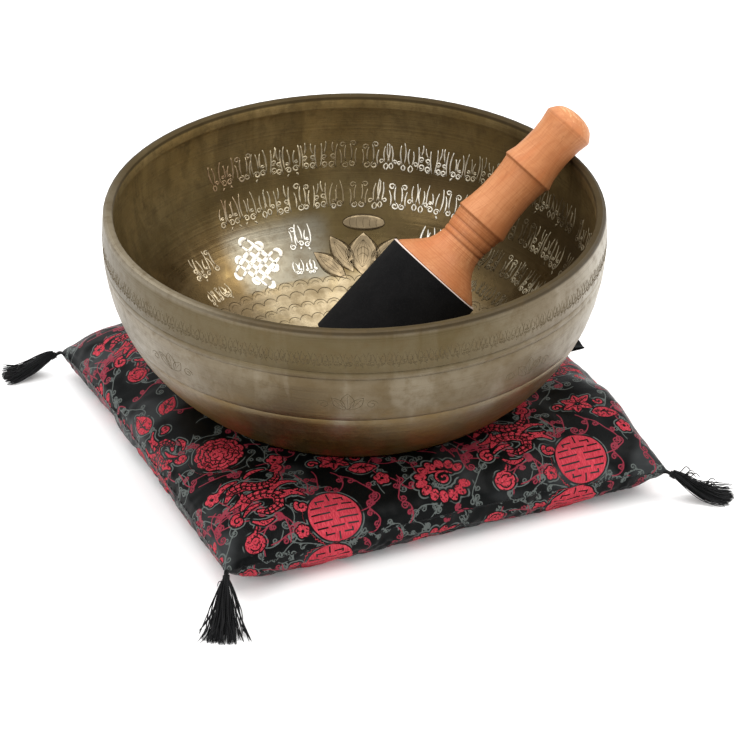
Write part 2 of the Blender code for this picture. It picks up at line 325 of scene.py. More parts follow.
def node_points(name):
    return np.array([v.co for v in NODES[name].data.vertices])


def node_tree(name):
    mesh = NODES[name].data
    return BVHTree.FromPolygons([v.co for v in mesh.vertices], [tuple(p.vertices) for p in mesh.polygons])


def smoothing_group(name, sharp_angle):
    """Geometry nodes that weld a faceted CAD mesh and shade it smooth between its sharp edges."""
    group = bpy.data.node_groups.new(name, "GeometryNodeTree")
    for way in ("INPUT", "OUTPUT"):
        group.interface.new_socket("Geometry", in_out=way, socket_type="NodeSocketGeometry")

    def step(kind, inputs=None, **settings):
        return add(group, kind, inputs, **settings).outputs[0]

    weld = step("GeometryNodeMergeByDistance", {"Geometry": step("NodeGroupInput"), "Distance": WELD})
    plain = step("GeometryNodeRemoveAttribute", {"Geometry": weld, "Name": "custom_normal"})
    soft = step("GeometryNodeSetShadeSmooth", {"Geometry": plain, "Shade Smooth": True})
    angle = add(group, "GeometryNodeInputMeshEdgeAngle").outputs["Unsigned Angle"]
    sharp = step("FunctionNodeCompare", {0: angle, 1: sharp_angle}, operation="GREATER_THAN")
    edges = {"Geometry": soft, "Selection": sharp, "Shade Smooth": False}
    add(group, "NodeGroupOutput", {0: step("GeometryNodeSetShadeSmooth", edges, domain="EDGE")})
    return group


SMOOTHING = smoothing_group("smooth_between_edges", math.radians(32))


def restyle(name, material):
    """Gives a CAD node a finish and smooth shading between its sharp edges."""
    node = NODES[name]
    for slot in node.material_slots:
        slot.link = "OBJECT"
        slot.material = material
    node.modifiers.new("smoothing", "NODES").node_group = SMOOTHING
    return node


# ---------------------------------------------------------------- bowl finish
def polished_window(n, x, y, z):
    """Mask of the two fields behind the knots, rubbed to a neutral grey metal."""
    around = n.math("ARCTAN2", y, x)
    turned = n.math("COSINE", around * 2.0 - 2.0 * WINDOW_MIDDLE)
    edge = (n.noise(n.place, 90.0, 3.0) - 0.5) * 0.04
    wavy = z + edge * 0.030
    return n.rise(turned + edge, 0.790, 0.930) * (n.rise(wavy, 0.0450, 0.0464) * n.fall(wavy, 0.0650, 0.0740))


def bowl_bronze():
    """Aged bronze: turning lines, hammer marks and uneven patina, paler and smoother inside, with painted
    light on its outer sides and the lip's left end, and painted shade under the lip and inside on the left
    and right.
    """
    n = Nodes("aged_bronze")
    x, y, z = n.split(n.place)
    normal = n.coordinates("Normal")
    flat_place = n.scaled(n.place, 1.0, 1.0, 0.0)
    inside = n.rise(n.split(normal)[2] * 0.02 - n.vector("DOT_PRODUCT", normal, flat_place), -0.002, 0.002)
    along = z - n.vector("LENGTH", flat_place) * 0.8
    turning = n.noise_line(along, 900.0, 5.0)
    fine_turning = n.noise_line(along, 3200.0, 2.0)
    brushing = n.noise(n.scaled(n.place, 1.0, 1.0, 0.12), 420.0, 3.0)
    patches = n.noise(n.place, 26.0, 5.0, 0.6)
    mottle = n.noise(n.place, 160.0, 6.0, 0.3, 0.65)
    specks = n.noise(n.place, 900.0, 2.0)
    blotches = n.noise(n.place, 17.0, 4.0, 0.5)
    streaks = n.noise(n.scaled(n.place, 1.0, 1.0, 0.16), 70.0, 4.0, 0.4)
    hammer = n.cells(n.vector("ADD", n.place, (0.003, 0.001, 0.0)), 62.0)
    rightward = n.vector("DOT_PRODUCT", n.place, PAINTED_LIGHT_SIDE)
    toward_painted_shade = n.vector("DOT_PRODUCT", n.place, PAINTED_SHADE_SIDE)
    window = polished_window(n, x, y, z)
    lip = n.rise(z, *LIP_Z)

    patina = n.mix(n.rise(patches, 0.35, 0.68), (0.118, 0.088, 0.050), (0.168, 0.138, 0.094))
    uneven_z = z + (patches - 0.5) * 0.050
    band = n.rise(z, 0.106, 0.112) * n.fall(z, 0.1292, 0.1312)
    outer = n.coats(
        patina,
        (n.rise(x, 0.015, 0.115, 0.75), (0.285, 0.250, 0.192)),             # painted light on the right side
        (n.fall(x, -0.138, -0.088, 0.84), (0.258, 0.226, 0.176)),           # painted reflection on the left edge
        (n.rise(rightward, 0.106, 0.126, 0.70), (0.430, 0.395, 0.325)),     # painted highlight on the right edge
        (n.rise(streaks, 0.50, 0.68, 0.26), (0.310, 0.275, 0.212)),
        (n.fall(uneven_z, 0.050, 0.088, 0.95), (0.190, 0.106, 0.020)),      # yellow brown near the base
        (band * n.fall(x, -0.01, 0.06, 0.66), (0.078, 0.058, 0.023)),       # dark band under the lip: its own tone with painted shade, laid at the front and left only
    )
    low_wall = n.mix(n.rise(patches, 0.35, 0.70), (0.150, 0.108, 0.043), (0.215, 0.163, 0.075))
    high_wall = n.mix(n.rise(patches, 0.35, 0.70), (0.345, 0.246, 0.096), (0.440, 0.332, 0.148))
    # painted shade low on the inner left side
    painted_shade_low_left = n.rise(toward_painted_shade, 0.032, 0.048, 0.72) * n.fall(z, 0.062, 0.082)
    # painted shade on the inner right side, deepest low down
    painted_shade_right = n.rise(x, 0.020, 0.085) * n.slope(z, 0.088, 0.112, 0.88, 0.52)
    inner = n.coats(
        low_wall,
        (n.rise(z, 0.084, 0.116), high_wall),
        (n.fall(z, 0.0435, 0.0490, 0.85), (0.415, 0.342, 0.226)),           # pale floor
        # painted shade high on the inner left side
        (n.rise(toward_painted_shade, 0.094, 0.120, 0.60), (0.085, 0.060, 0.022)),
        (painted_shade_low_left, (0.112, 0.070, 0.030)),
        (n.rise(streaks, 0.48, 0.64, 0.40), (0.088, 0.058, 0.022)),
        (n.fall(streaks, 0.34, 0.46, 0.28), (0.330, 0.235, 0.100)),
        (n.rise(blotches, 0.46, 0.66, 0.38), (0.100, 0.070, 0.030)),
        (window, (0.220, 0.198, 0.148)),
        # painted shade on the inner right side
        (painted_shade_right, (0.060, 0.040, 0.018)),
    )
    # the lip's own dark colour, lightened at its left end as painted light
    lip_colour_and_light = n.mix(n.rise(x, -0.132, -0.085), (0.255, 0.220, 0.160), (0.052, 0.038, 0.021))
    stain = n.rise(turning, 0.52, 0.70) * n.rise(patches, 0.30, 0.62)
    colour = n.coats(
        n.mix(inside, outer, inner),
        (lip * 0.86, lip_colour_and_light),
        (n.rise(mottle, 0.44, 0.72) * 0.50, (0.105, 0.072, 0.034)),         # tarnish
        (stain * 0.30, (0.11, 0.080, 0.042)),
        (n.rise(specks, 0.62, 0.74) * 0.35, (0.09, 0.065, 0.035)),
    )

    polished = inside * n.fall(z, 0.062, 0.096)
    rough = 0.19 + mottle * 0.26 + brushing * 0.10 + turning * 0.10 + lip * 0.16
    rough = rough - polished * 0.13 + (inside - polished) * 0.20 + window * inside * 0.06
    dents = n.bump(hammer, 0.0011, 0.30)
    lines = n.bump(fine_turning, 0.00004, 0.6, n.bump(turning, 0.00016, 0.55, dents))
    grain = n.bump(mottle, 0.00014, 0.45, lines)
    return n.finish(Base_Color=colour, Metallic=1.0, Roughness=rough, Normal=grain)


def painted_light_on_lines(n, shade, broad):
    """Tints of the bright engraving along the painted-light direction: copper high on the left, dim in the
    middle, painted highlights of pale metal further right, and painted shade on the far right, broken by
    bright gaps.
    """
    side = n.vector("DOT_PRODUCT", n.place, PAINTED_LIGHT_SIDE)
    z = n.split(n.place)[2]
    # painted highlights: the lines are paler low in the middle and further right
    highlight_low = n.rise(side, -0.056, -0.046) * n.fall(z, 0.068, 0.076, 0.95)
    highlight_high = n.rise(side, 0.006, 0.018, 0.70)
    copper = n.fall(side, -0.072, -0.050, 0.72) * n.slope(z, 0.076, 0.084, 0.25, 1.0)
    dim = n.rise(side, -0.024, -0.012) * n.fall(side, 0.002, 0.016, 0.70) * n.rise(z, 0.066, 0.074)
    painted_highlight = n.math("MAXIMUM", highlight_low, highlight_high) * n.fall(side, 0.050, 0.062)
    # painted shade on the far right, broken by bright gaps
    painted_shade_far_right = n.rise(side, 0.052, 0.064) * n.slope(broad, 0.50, 0.60, 0.92, 0.25)
    return n.coats(
        shade,
        (copper, (0.420, 0.255, 0.130)),
        (dim, (0.250, 0.180, 0.086)),
        (painted_highlight, (0.950, 0.930, 0.860)),
        (painted_shade_far_right, (0.075, 0.052, 0.024)),
    )


def etched_brass(name, colour, roughness, worn=0.55, with_painted_light=False):
    """Metal of the engraved lines, with worn patches of a darker tint, and painted highlights and painted
    shade round the wall when with_painted_light is set.
    """
    n = Nodes(name)
    blot = n.noise(n.place, 240.0, 4.0)
    broad = n.noise(n.place, 34.0, 2.0)
    tint = tuple(worn * c for c in colour)
    shade = n.coats(colour, (n.rise(blot, 0.35, 0.62), tint), (n.rise(broad, 0.42, 0.62, 0.7), tint))
    if with_painted_light:
        shade = painted_light_on_lines(n, shade, broad)
    return n.finish(Base_Color=shade, Metallic=1.0, Roughness=blot * 0.25 + roughness,
                    Normal=n.bump(blot, 0.00005, 0.5))


# ---------------------------------------------------------------- mallet finishes
def mallet_frame():
    """Matrix whose Z axis runs down the mallet from the end of its handle."""
    points = node_points("mallet_handle")
    middle = points.mean(axis=0)
    axis = np.linalg.svd(points - middle, full_matrices=False)[2][0]
    axis = axis if axis[2] < 0.0 else -axis
    tip = middle + axis * ((points - middle) @ axis).min()
    turn = Vector(axis).to_track_quat("Z", "X").to_matrix().to_4x4()
    return Matrix.Translation(tip) @ turn


MALLET = mallet_frame()
# distance from the handle's end, half width and depth of painted shade of each turned groove
GROOVES = (
    (0.0080, 0.0010, 0.217),
    (0.0389, 0.0014, 0.310),
    (0.0736, 0.0014, 0.341),
    (0.0791, 0.0009, 0.434),
    (0.0846, 0.0009, 0.434),
    (0.0878, 0.0009, 0.434),
)


def down_mallet(n):
    """Coordinates in the mallet's own frame."""
    inputs = {"Vector": n.place, "Location": MALLET.translation, "Rotation": MALLET.to_euler()}
    return n.output("ShaderNodeMapping", 0, inputs, vector_type="TEXTURE")


def turned_wood():
    """Red brown wood with grain along the mallet, lathe lines round it, painted shade in its turned grooves
    and pale end grain.
    """
    n = Nodes("turned_wood_grain")
    own = down_mallet(n)
    depth = n.split(own)[2]
    long_grain = n.noise(n.scaled(own, 1.0, 1.0, 0.07), 520.0, 4.0, 0.4)
    ripple = n.noise(n.scaled(own, 1.0, 1.0, 0.20), 75.0, 2.0, 0.8)
    pores = n.rise(n.noise(n.scaled(own, 1.0, 1.0, 0.12), 1500.0, 2.0), 0.60, 0.74)
    warmth = n.noise(n.scaled(own, 1.0, 1.0, 0.45), 62.0, 3.0, 0.5)
    end_grain = n.noise(n.scaled(own, 1.0, 0.22, 1.0), 620.0, 3.0, 0.3)
    lathe = n.noise_line(depth, 1600.0, 4.0)
    broad = n.rise(n.noise(own, 38.0, 3.0), 0.30, 0.70)
    bands = n.rise(n.math("SINE", ripple * 60.0), -0.2, 1.0)
    neck = n.rise(depth, 0.072, 0.078) * n.fall(depth, 0.096, 0.112)
    cut_end = n.fall(depth, 0.0030, 0.0060, 0.75)
    dark = (0.191, 0.062, 0.022)
    # painted shade along the turned grooves
    marks = [(n.fall(abs(depth - at), 0.2 * half, half, shade), dark) for at, half, shade in GROOVES]
    colour = n.coats(
        n.mix(broad, (0.444, 0.168, 0.061), (0.522, 0.224, 0.094)),
        (n.rise(warmth, 0.50, 0.66, 0.60), (0.440, 0.135, 0.040)),
        (n.fall(warmth, 0.32, 0.46, 0.50), (0.600, 0.292, 0.130)),
        (bands * 0.34, (0.394, 0.135, 0.047)),
        (n.rise(long_grain, 0.48, 0.72) * 0.40, (0.359, 0.122, 0.043)),
        (pores * 0.35, (0.225, 0.070, 0.024)),
        (n.rise(lathe, 0.48, 0.66) * (0.22 + neck * 0.38), (0.337, 0.105, 0.034)),
        (n.rise(depth, 0.088, 0.104, 0.26), (0.380, 0.135, 0.048)),         # darker towards the wrap
        *marks,
        (n.fall(depth, 0.0, 0.0075, 0.30), (0.607, 0.306, 0.145)),          # paler domed end
        (cut_end * n.rise(end_grain, 0.50, 0.66), (0.400, 0.150, 0.052)),
        (cut_end * n.fall(end_grain, 0.34, 0.46, 0.8), (0.720, 0.440, 0.225)),
    )
    relief = n.bump(lathe, 0.00012, 0.6, n.bump(long_grain, 0.00010, 0.5, n.bump(pores, 0.00004, 0.6)))
    return n.finish(Base_Color=colour, Roughness=long_grain * 0.20 + 0.36, Normal=relief,
                    Specular_IOR_Level=0.22)


def suede_wrap():
    """Black suede whose cut edge beside the wood is pale."""
    n = Nodes("black_suede")
    depth = n.split(down_mallet(n))[2]
    edge = min((MALLET.inverted() @ Vector(p)).z for p in node_points("mallet_wrap"))
    nap = n.noise(n.place, 1400.0, 4.0, 0.2, 0.7)
    brushed = n.noise(n.place, 90.0, 4.0, 0.7)
    pale = n.mix(n.noise(n.place, 2600.0, 3.0), (0.50, 0.39, 0.35), (0.74, 0.64, 0.58))
    colour = n.coats(
        n.mix(n.rise(brushed, 0.30, 0.75), (0.0030, 0.0030, 0.0033), (0.0062, 0.0060, 0.0063)),
        (n.rise(nap, 0.45, 0.75) * 0.5, (0.0135, 0.0130, 0.0135)),
        (n.fall(depth, edge + 0.00060, edge + 0.00085), pale),
    )
    relief = n.bump(nap, 0.00012, 0.8, n.bump(brushed, 0.0004, 0.3))
    return n.finish(Base_Color=colour, Roughness=0.88, Normal=relief, Specular_IOR_Level=0.08,
                    Sheen_Weight=0.015, Sheen_Roughness=0.6)


restyle("bowl", bowl_bronze())
restyle("mallet_handle", turned_wood())
restyle("mallet_wrap", suede_wrap())


# ---------------------------------------------------------------- engraving
BOWL_TREE = node_tree("bowl")
BOWL_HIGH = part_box("bowl")[1]


def bowl_hit(start, direction):
    """Where a ray meets the bowl, and the normal there that faces the ray."""
    point, normal, _, _ = BOWL_TREE.ray_cast(start, direction)
    return point, normal if normal.dot(direction) < 0.0 else -normal


def wall_hit(angle, height):
    return bowl_hit(UP * height, Vector((math.cos(angle), math.sin(angle), 0.0)))


def outside_hit(angle, height):
    outward = Vector((math.cos(angle), math.sin(angle), 0.0))
    return bowl_hit(2.0 * BOWL_HIGH.x * outward + UP * height, -outward)


def floor_hit(x, y):
    return bowl_hit(Vector((x, y, BOWL_HIGH.z)), -UP)


def lengths_from(steps):
    """Running sum of the steps, starting at none."""
    return np.concatenate(([0.0], np.cumsum(steps)))


def slope_table(hit, low, high, steps=60):
    """Heights and the distances along the wall that they stand at."""
    heights = np.linspace(low, high, steps)
    radii = np.array([math.hypot(*hit(0.02, h)[0].xy) for h in heights])
    rises = np.hypot(np.diff(radii), np.diff(heights))
    return heights, lengths_from(rises), radii


FLOOR_Z = floor_hit(0.0, 0.0)[0].z
INNER = slope_table(wall_hit, FLOOR_Z + 0.0012, BOWL_HIGH.z - 0.009)
OUTER = slope_table(outside_hit, FLOOR_Z + 0.004, BOWL_HIGH.z - 0.003)


def wall_radius(height, inner=True):
    heights, _, radii = INNER if inner else OUTER
    return float(np.interp(height, heights, radii))


def wall_placer(angle, height, inner=True):
    """Turns drawing millimetres (right, up) at a place on the wall into points and normals."""
    heights, lengths, _ = INNER if inner else OUTER
    hit, sense = (wall_hit, -1.0) if inner else (outside_hit, 1.0)
    start = float(np.interp(height, heights, lengths))
    radius = wall_radius(height, inner)

    def place(right, up):
        level = float(np.interp(start + up * MM, lengths, heights))
        return hit(angle + sense * right * MM / radius, level)
    return place


def floor_place(right, up):
    return floor_hit(right * MM, up * MM)


class Engraving:
    """Lines cut in the bowl, gathered into one mesh of closed four-sided strips."""

    def __init__(self):
        self.points = []
        self.faces = []

    def line(self, place, route, width, raise_by=LINE_RAISE, crest=0.25):
        """One line along a route of (right, up) millimetres, narrowing at both ends unless it closes."""
        closed = math.dist(route[0], route[-1]) < 0.01
        laid = [place(*p) for p in route]
        first = len(self.points)
        last = len(laid) - 1
        for i, (point, normal) in enumerate(laid):
            if closed:
                before, after, ends = (i - 1) % last, (i + 1) % last, 1.0
            else:
                before, after = max(i - 1, 0), min(i + 1, last)
                ends = 0.45 + 0.55 * min(1.0, 2.5 * min(i, last - i) / last)
            side = (laid[after][0] - laid[before][0]).cross(normal).normalized()
            half = 0.5 * width * MM * ends
            sunk, wide = point - normal * LINE_SINK, side * half
            top, narrow = point + normal * raise_by, side * half * crest
            self.points += [sunk - wide, sunk + wide, top + narrow, top - narrow]
        for i in range(last):
            a = first + 4 * i
            b = a + 4
            self.faces += [(a + k, b + k, b + (k + 1) % 4, a + (k + 1) % 4) for k in range(4)]
        far = first + 4 * last
        self.faces += [(first, first + 1, first + 2, first + 3), (far + 3, far + 2, far + 1, far)]

    def panel(self, place, left, right, across=6):
        """Thin closed sheet on the metal between two routes that start and end together."""
        shares = np.linspace(0.0, 1.0, across + 1)
        edges = [(np.array(p), np.array(q)) for p, q in zip(left, right)]
        laid = [place(*((1.0 - s) * p + s * q)) for p, q in edges for s in shares]
        first = len(self.points)
        under = first + len(laid)
        self.points += [point + normal * 0.45 * LINE_RAISE for point, normal in laid]
        self.points += [point - normal * LINE_SINK for point, normal in laid]
        number = np.arange(len(laid)).reshape(len(left), across + 1)
        for ring in grid_faces(number):
            self.faces += [tuple(first + c for c in ring), tuple(under + c for c in reversed(ring))]
        border = [*number[0, :-1], *number[:-1, -1], *number[-1, :0:-1], *number[:0:-1, 0]]
        border = [int(c) for c in border]
        for c, d in zip(border, border[1:] + border[:1]):
            self.faces.append((first + d, first + c, under + c, under + d))

    def piece(self, name, material):
        made = mesh_piece(name, self.points, self.faces, material)
        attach(made, "bowl")
        return made


def grid_faces(number):
    """Four-sided faces between neighbouring points of a grid of point numbers."""
    corners = (number[:-1, :-1], number[:-1, 1:], number[1:, 1:], number[1:, :-1])
    return np.stack(corners, axis=-1).reshape(-1, 4).tolist()


def arc(centre, radius, start, end, steps, squash=1.0):
    """Route round part of an ellipse, angles in degrees."""
    turns = np.radians(np.linspace(start, end, steps))
    return [(centre[0] + radius * math.cos(t), centre[1] + squash * radius * math.sin(t)) for t in turns]


def bend(start, end, bulge, steps=7):
    """Route from start to end that swells sideways by bulge in its middle."""
    (x0, y0), (x1, y1) = start, end
    size = math.hypot(x1 - x0, y1 - y0) or 1.0
    across = (-(y1 - y0) / size, (x1 - x0) / size)
    shares = np.linspace(0.0, 1.0, steps)
    return [(x0 + (x1 - x0) * s + across[0] * bulge * math.sin(math.pi * s),
             y0 + (y1 - y0) * s + across[1] * bulge * math.sin(math.pi * s)) for s in shares]


def spiral(centre, radius, start, turns, steps=26, shrink=0.12):
    """Route that winds in towards its centre, angles in degrees."""
    shares = np.linspace(0.0, 1.0, steps)
    angles = np.radians(start + 360.0 * turns * shares)
    sizes = radius * (1.0 - (1.0 - shrink) * shares)
    return np.stack([centre[0] + sizes * np.cos(angles), centre[1] + sizes * np.sin(angles)], axis=1)


def flame_volute(size, tall, rng):
    """Volute with flame tongues and a bead over it: routes and width."""
    routes = [spiral((size, size), size, 0.0, 1.30, 13, 0.30),
              bend((2.0 * size, size), (2.0 * size - 0.5, tall * rng.uniform(0.88, 1.0)), -0.75, 8),
              bend((0.45 * size, 2.15 * size), (0.75 * size, tall * rng.uniform(0.66, 0.86)), 0.5, 7)]
    if rng.random() < 0.7:
        routes.append(arc((1.12 * size, 2.9 * size), 0.36 * size, 0, 360, 7))
    if rng.random() < 0.5:
        routes.append(bend((size, -0.2 * size), (1.6 * size, -1.1 * size), 0.3, 4))
    return routes, 2.0 * size + 0.7


def stacked_volutes(size, tall, rng):
    """Two curls one above the other beside a tall flame."""
    top = tall * rng.uniform(0.86, 1.0)
    return [spiral((size, 1.1 * size), 0.95 * size, -60.0, -1.25, 12, 0.30),
            spiral((size, 3.3 * size), 0.85 * size, -110.0, 1.25, 12, 0.30),
            bend((1.2 * size, 4.3 * size), (0.7 * size, top), 0.5, 6),
            bend((2.1 * size, 0.4), (2.0 * size, 0.92 * top), 0.6, 8)], 2.0 * size + 0.9


def reed_pair(size, tall, rng):
    """Two slender reeds that bow apart over a bud."""
    top = tall * rng.uniform(0.80, 1.0)
    return [bend((0.6 * size, 1.9 * size), (0.2 * size, top), 0.8, 8),
            bend((1.2 * size, 1.9 * size), (1.3 * size, 0.9 * top), -0.7, 8),
            bend((0.9 * size, -0.2 * size), (0.9 * size, 1.8 * size), 0.6 * size, 7),
            bend((0.9 * size, -0.2 * size), (0.9 * size, 1.8 * size), -0.6 * size, 7),
            spiral((2.2 * size, 2.2 * size), 0.75 * size, 200.0, -1.2, 11, 0.3)], 2.0 * size + 1.2


def curled_frond(size, tall, rng):
    """Stem that rises from a curl and rolls over at its top, with a leaf beside it."""
    top = tall * rng.uniform(0.84, 0.98)
    return [spiral((1.1 * size, size), size, 100.0, 1.25, 12, 0.30),
            bend((0.9 * size, 2.0 * size), (0.75 * size, top - size), -0.5, 6),
            spiral((1.65 * size, top - size), 0.9 * size, 180.0, -1.1, 11, 0.35),
            bend((2.3 * size, 0.8 * size), (2.5 * size, 0.66 * tall), 0.7, 6)], 2.6 * size + 0.6


MOTIFS = (flame_volute, stacked_volutes, reed_pair, curled_frond, flame_volute)


def flourish(draw, place, motif, tall, rng, width, mirrored):
    """One ornament of the bands. Returns its width."""
    routes, span = motif(rng.uniform(0.104, 0.128) * tall, tall, rng)
    tilt = rng.uniform(-0.10, 0.10)
    for route in routes:
        placed = [((span - x if mirrored else x) + tilt * y, y) for x, y in route]
        draw.line(place, placed, width * rng.uniform(0.85, 1.15))
    return span


def ornament_band(draw, height, tall, inner, seed, width, gaps, motifs=MOTIFS):
    """A band of mirrored flourishes right round the wall, left out near the gaps' angles in degrees."""
    rng = random.Random(seed)
    around = 2.0 * math.pi * wall_radius(height, inner) / MM
    at = 0.0
    mirrored = False
    motif = motifs[0]
    while at < around - 6.0:
        angle = 360.0 * at / around
        near = [abs((angle - g + 180.0) % 360.0 - 180.0) for g, _ in gaps]
        if any(d < reach for d, (_, reach) in zip(near, gaps)):
            at += 2.0
            continue
        lifted = height + rng.uniform(-0.0004, 0.0004) * tall / 10.0
        place = wall_placer(math.radians(angle), lifted, inner)
        at += flourish(draw, place, motif, tall, rng, width, mirrored)
        mirrored = not mirrored
        if not mirrored:
            motif = rng.choice(motifs)
            at += rng.uniform(0.0, 0.6)


def turned_route(route, degrees):
    c, s = math.cos(math.radians(degrees)), math.sin(math.radians(degrees))
    return [(x * c - y * s, x * s + y * c) for x, y in route]


def knot(draw, place, cell, width, tilt):
    """Interlaced square knot: four bands each way, joined in pairs by loops, every second one long."""
    rails = [(-1.5 + k) * cell for k in range(4)]
    for flip in (False, True):
        for pair in (0, 2):
            middle = 0.5 * (rails[pair] + rails[pair + 1])
            longer = 1.0 if (pair == 0) != flip else -1.0
            far, near = longer * 2.45 * cell, -longer * 1.62 * cell
            loops = [arc((far, middle), 0.5 * cell, 90 - 90 * longer - 90, 90 - 90 * longer + 90, 8),
                     arc((near, middle), 0.5 * cell, 90 + 90 * longer - 90, 90 + 90 * longer + 90, 8)]
            loops += [[(t, rail) for t in np.linspace(near, far, 16)] for rail in rails[pair:pair + 2]]
            for route in loops:
                route = [(y, x) for x, y in route] if flip else route
                draw.line(place, turned_route(route, tilt), width, LINE_RAISE * 1.3, 0.80)


def petal(draw, place, foot, tip, swell, width, veins, field=None):
    """A pointed petal from foot to tip, with veins inside it and a polished field between its edges."""
    if field is not None:
        field.panel(place, bend(foot, tip, swell * 0.92, 12), bend(foot, tip, -swell * 0.92, 12))
    draw.line(place, bend(foot, tip, swell, 10), width)
    draw.line(place, bend(foot, tip, -swell, 10), width)
    for k in range(veins):
        share = (k + 1.0) / (veins + 1.0) * 2.0 - 1.0
        near = tuple(f + 0.18 * (t - f) for f, t in zip(foot, tip))
        far = tuple(f + 0.84 * (t - f) for f, t in zip(foot, tip))
        draw.line(place, bend(near, far, share * swell * 0.75, 7), 0.6 * width)


def lotus(draw, place, width, field):
    """Open flower seen from the side, under an oval seed head, its broad petals polished."""
    field.panel(place, arc((0.0, 13.5), 10.0, 180, 0, 14, 0.42), arc((0.0, 13.5), 10.0, 180, 360, 14, 0.42))
    draw.line(place, arc((0.0, 13.5), 10.2, 0, 360, 25, 0.42), width)
    for k in range(5):
        across = -6.4 + 3.2 * k
        draw.line(place, bend((across, 10.9), (across, 16.1), 0.5, 4), 0.6 * width)
    for side in (-1.0, 1.0):
        petal(draw, place, (side * 5.2, -14.0), (side * 17.0, 6.5), side * -5.6, width, 3, field)
        petal(draw, place, (side * 9.5, -17.5), (side * 26.5, -1.5), side * -5.2, width, 3, field)
    petal(draw, place, (0.0, -15.5), (0.0, 8.0), 9.4, width, 6, field)
    draw.line(place, bend((-3.4, -2.0), (3.4, -2.0), 2.2, 7), width)
    draw.line(place, bend((-2.6, -5.0), (2.6, -5.0), 1.8, 7), width)


def wave_scales(draw, width):
    """Rows of overlapping scales low on the inner wall."""
    pitch = 2.0 * math.pi / SCALES_ROUND
    for row in range(SCALE_ROWS):
        height = FLOOR_Z + SCALE_START + row * SCALE_STEP
        size = 0.5 * pitch * wall_radius(height) / MM
        for k in range(SCALES_ROUND):
            place = wall_placer((k + 0.5 * (row % 2)) * pitch, height)
            draw.line(place, arc((0.0, 0.0), size, 8, 172, 9, 0.95), width)
            if row % 2 == 0:
                draw.line(place, arc((0.0, 0.0), 0.55 * size, 20, 160, 6, 0.9), 0.7 * width)


def rosette(draw, petals, inner_radius, outer_radius, width):
    """Ring of petals on the bowl's floor, millimetres."""
    place = floor_place
    leaf = math.pi * inner_radius / petals
    rib = [(inner_radius * 1.2, 0.0), (0.5 * (inner_radius + outer_radius), 0.0), (outer_radius * 0.9, 0.0)]
    for k in range(petals):
        turn = 360.0 * k / petals
        for side in (-1.0, 1.0):
            route = bend((inner_radius, 0.0), (outer_radius, 0.0), side * leaf * 1.5, 9)
            draw.line(place, turned_route(route, turn), width)
        draw.line(place, turned_route(rib, turn), 0.6 * width)
    draw.line(place, arc((0.0, 0.0), inner_radius, 0, 360, 60), width)
    draw.line(place, arc((0.0, 0.0), outer_radius + 0.8, 0, 360, 90), width)


def engrave_bowl():
    """All the engraving, in five pieces by the finish of their metal."""
    bright = Engraving()
    fields = Engraving()
    dark = Engraving()
    # angles in degrees that the bands leave out, and how far to each side
    around_figures = [(a, 17.0) for a in LOTUS_ANGLES] + [(a + 2.5, 12.0) for a in KNOT_ANGLES]
    gaps = {"high": [(134.0, 27.0)], "low": around_figures + [(143.0, 19.0)]}
    for height, tall, seed, width, level in INNER_BANDS:
        ornament_band(bright, height, tall, True, seed, width, gaps[level])
    for angle in LOTUS_ANGLES:
        lotus(dark, wall_placer(math.radians(angle), LOTUS_Z), 0.60, fields)
    wave_scales(dark, 0.50)
    for ring in ROSETTES:
        rosette(bright, *ring, 0.7)
    # the bright lines also carry painted highlights and painted shade round the wall
    bright.piece("engraved_lines", etched_brass("cut_brass", (0.86, 0.76, 0.54), 0.42, 0.55, True))
    fields.piece("polished_petals", etched_brass("rubbed_brass", (0.36, 0.275, 0.165), 0.26, 0.60))
    dark.piece("shaded_lines", etched_brass("darkened_cuts", (0.110, 0.078, 0.040), 0.45))

    bold = Engraving()
    for angle in KNOT_ANGLES:
        knot(bold, wall_placer(math.radians(angle), KNOT_Z), KNOT_CELL, KNOT_WIDTH, KNOT_TILT)
    bold.piece("engraved_knots", etched_brass("polished_brass", (0.94, 0.89, 0.78), 0.42, 0.90))

    faint = Engraving()
    ornament_band(faint, FRIEZE_Z, FRIEZE_TALL, False, FRIEZE_SEED, 0.40, (), MOTIFS[:1])
    for k in range(SPRIGS):
        place = wall_placer(math.radians(SPRIG_START + 360.0 * k / SPRIGS), SPRIG_Z, False)
        petal(faint, place, (0.0, 0.0), (0.0, 11.0), 3.2, 0.4, 1)
        for side in (-1.0, 1.0):
            petal(faint, place, (side * 1.0, 0.0), (side * 7.5, 8.0), side * -2.4, 0.4, 1)
            faint.line(place, spiral((side * 11.5, 3.6), 3.0, 90 - 90 * side, side * 1.3, 14, 0.25), 0.4)
    faint.piece("worn_frieze", etched_brass("worn_bronze", (0.132, 0.102, 0.058), 0.42, 0.85))


engrave_bowl()


# ---------------------------------------------------------------- cushion shape
PANEL_LOW, PANEL_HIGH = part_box("cushion_top_panel")
HALF_SIDE = 0.5 * (PANEL_HIGH.x - PANEL_LOW.x)


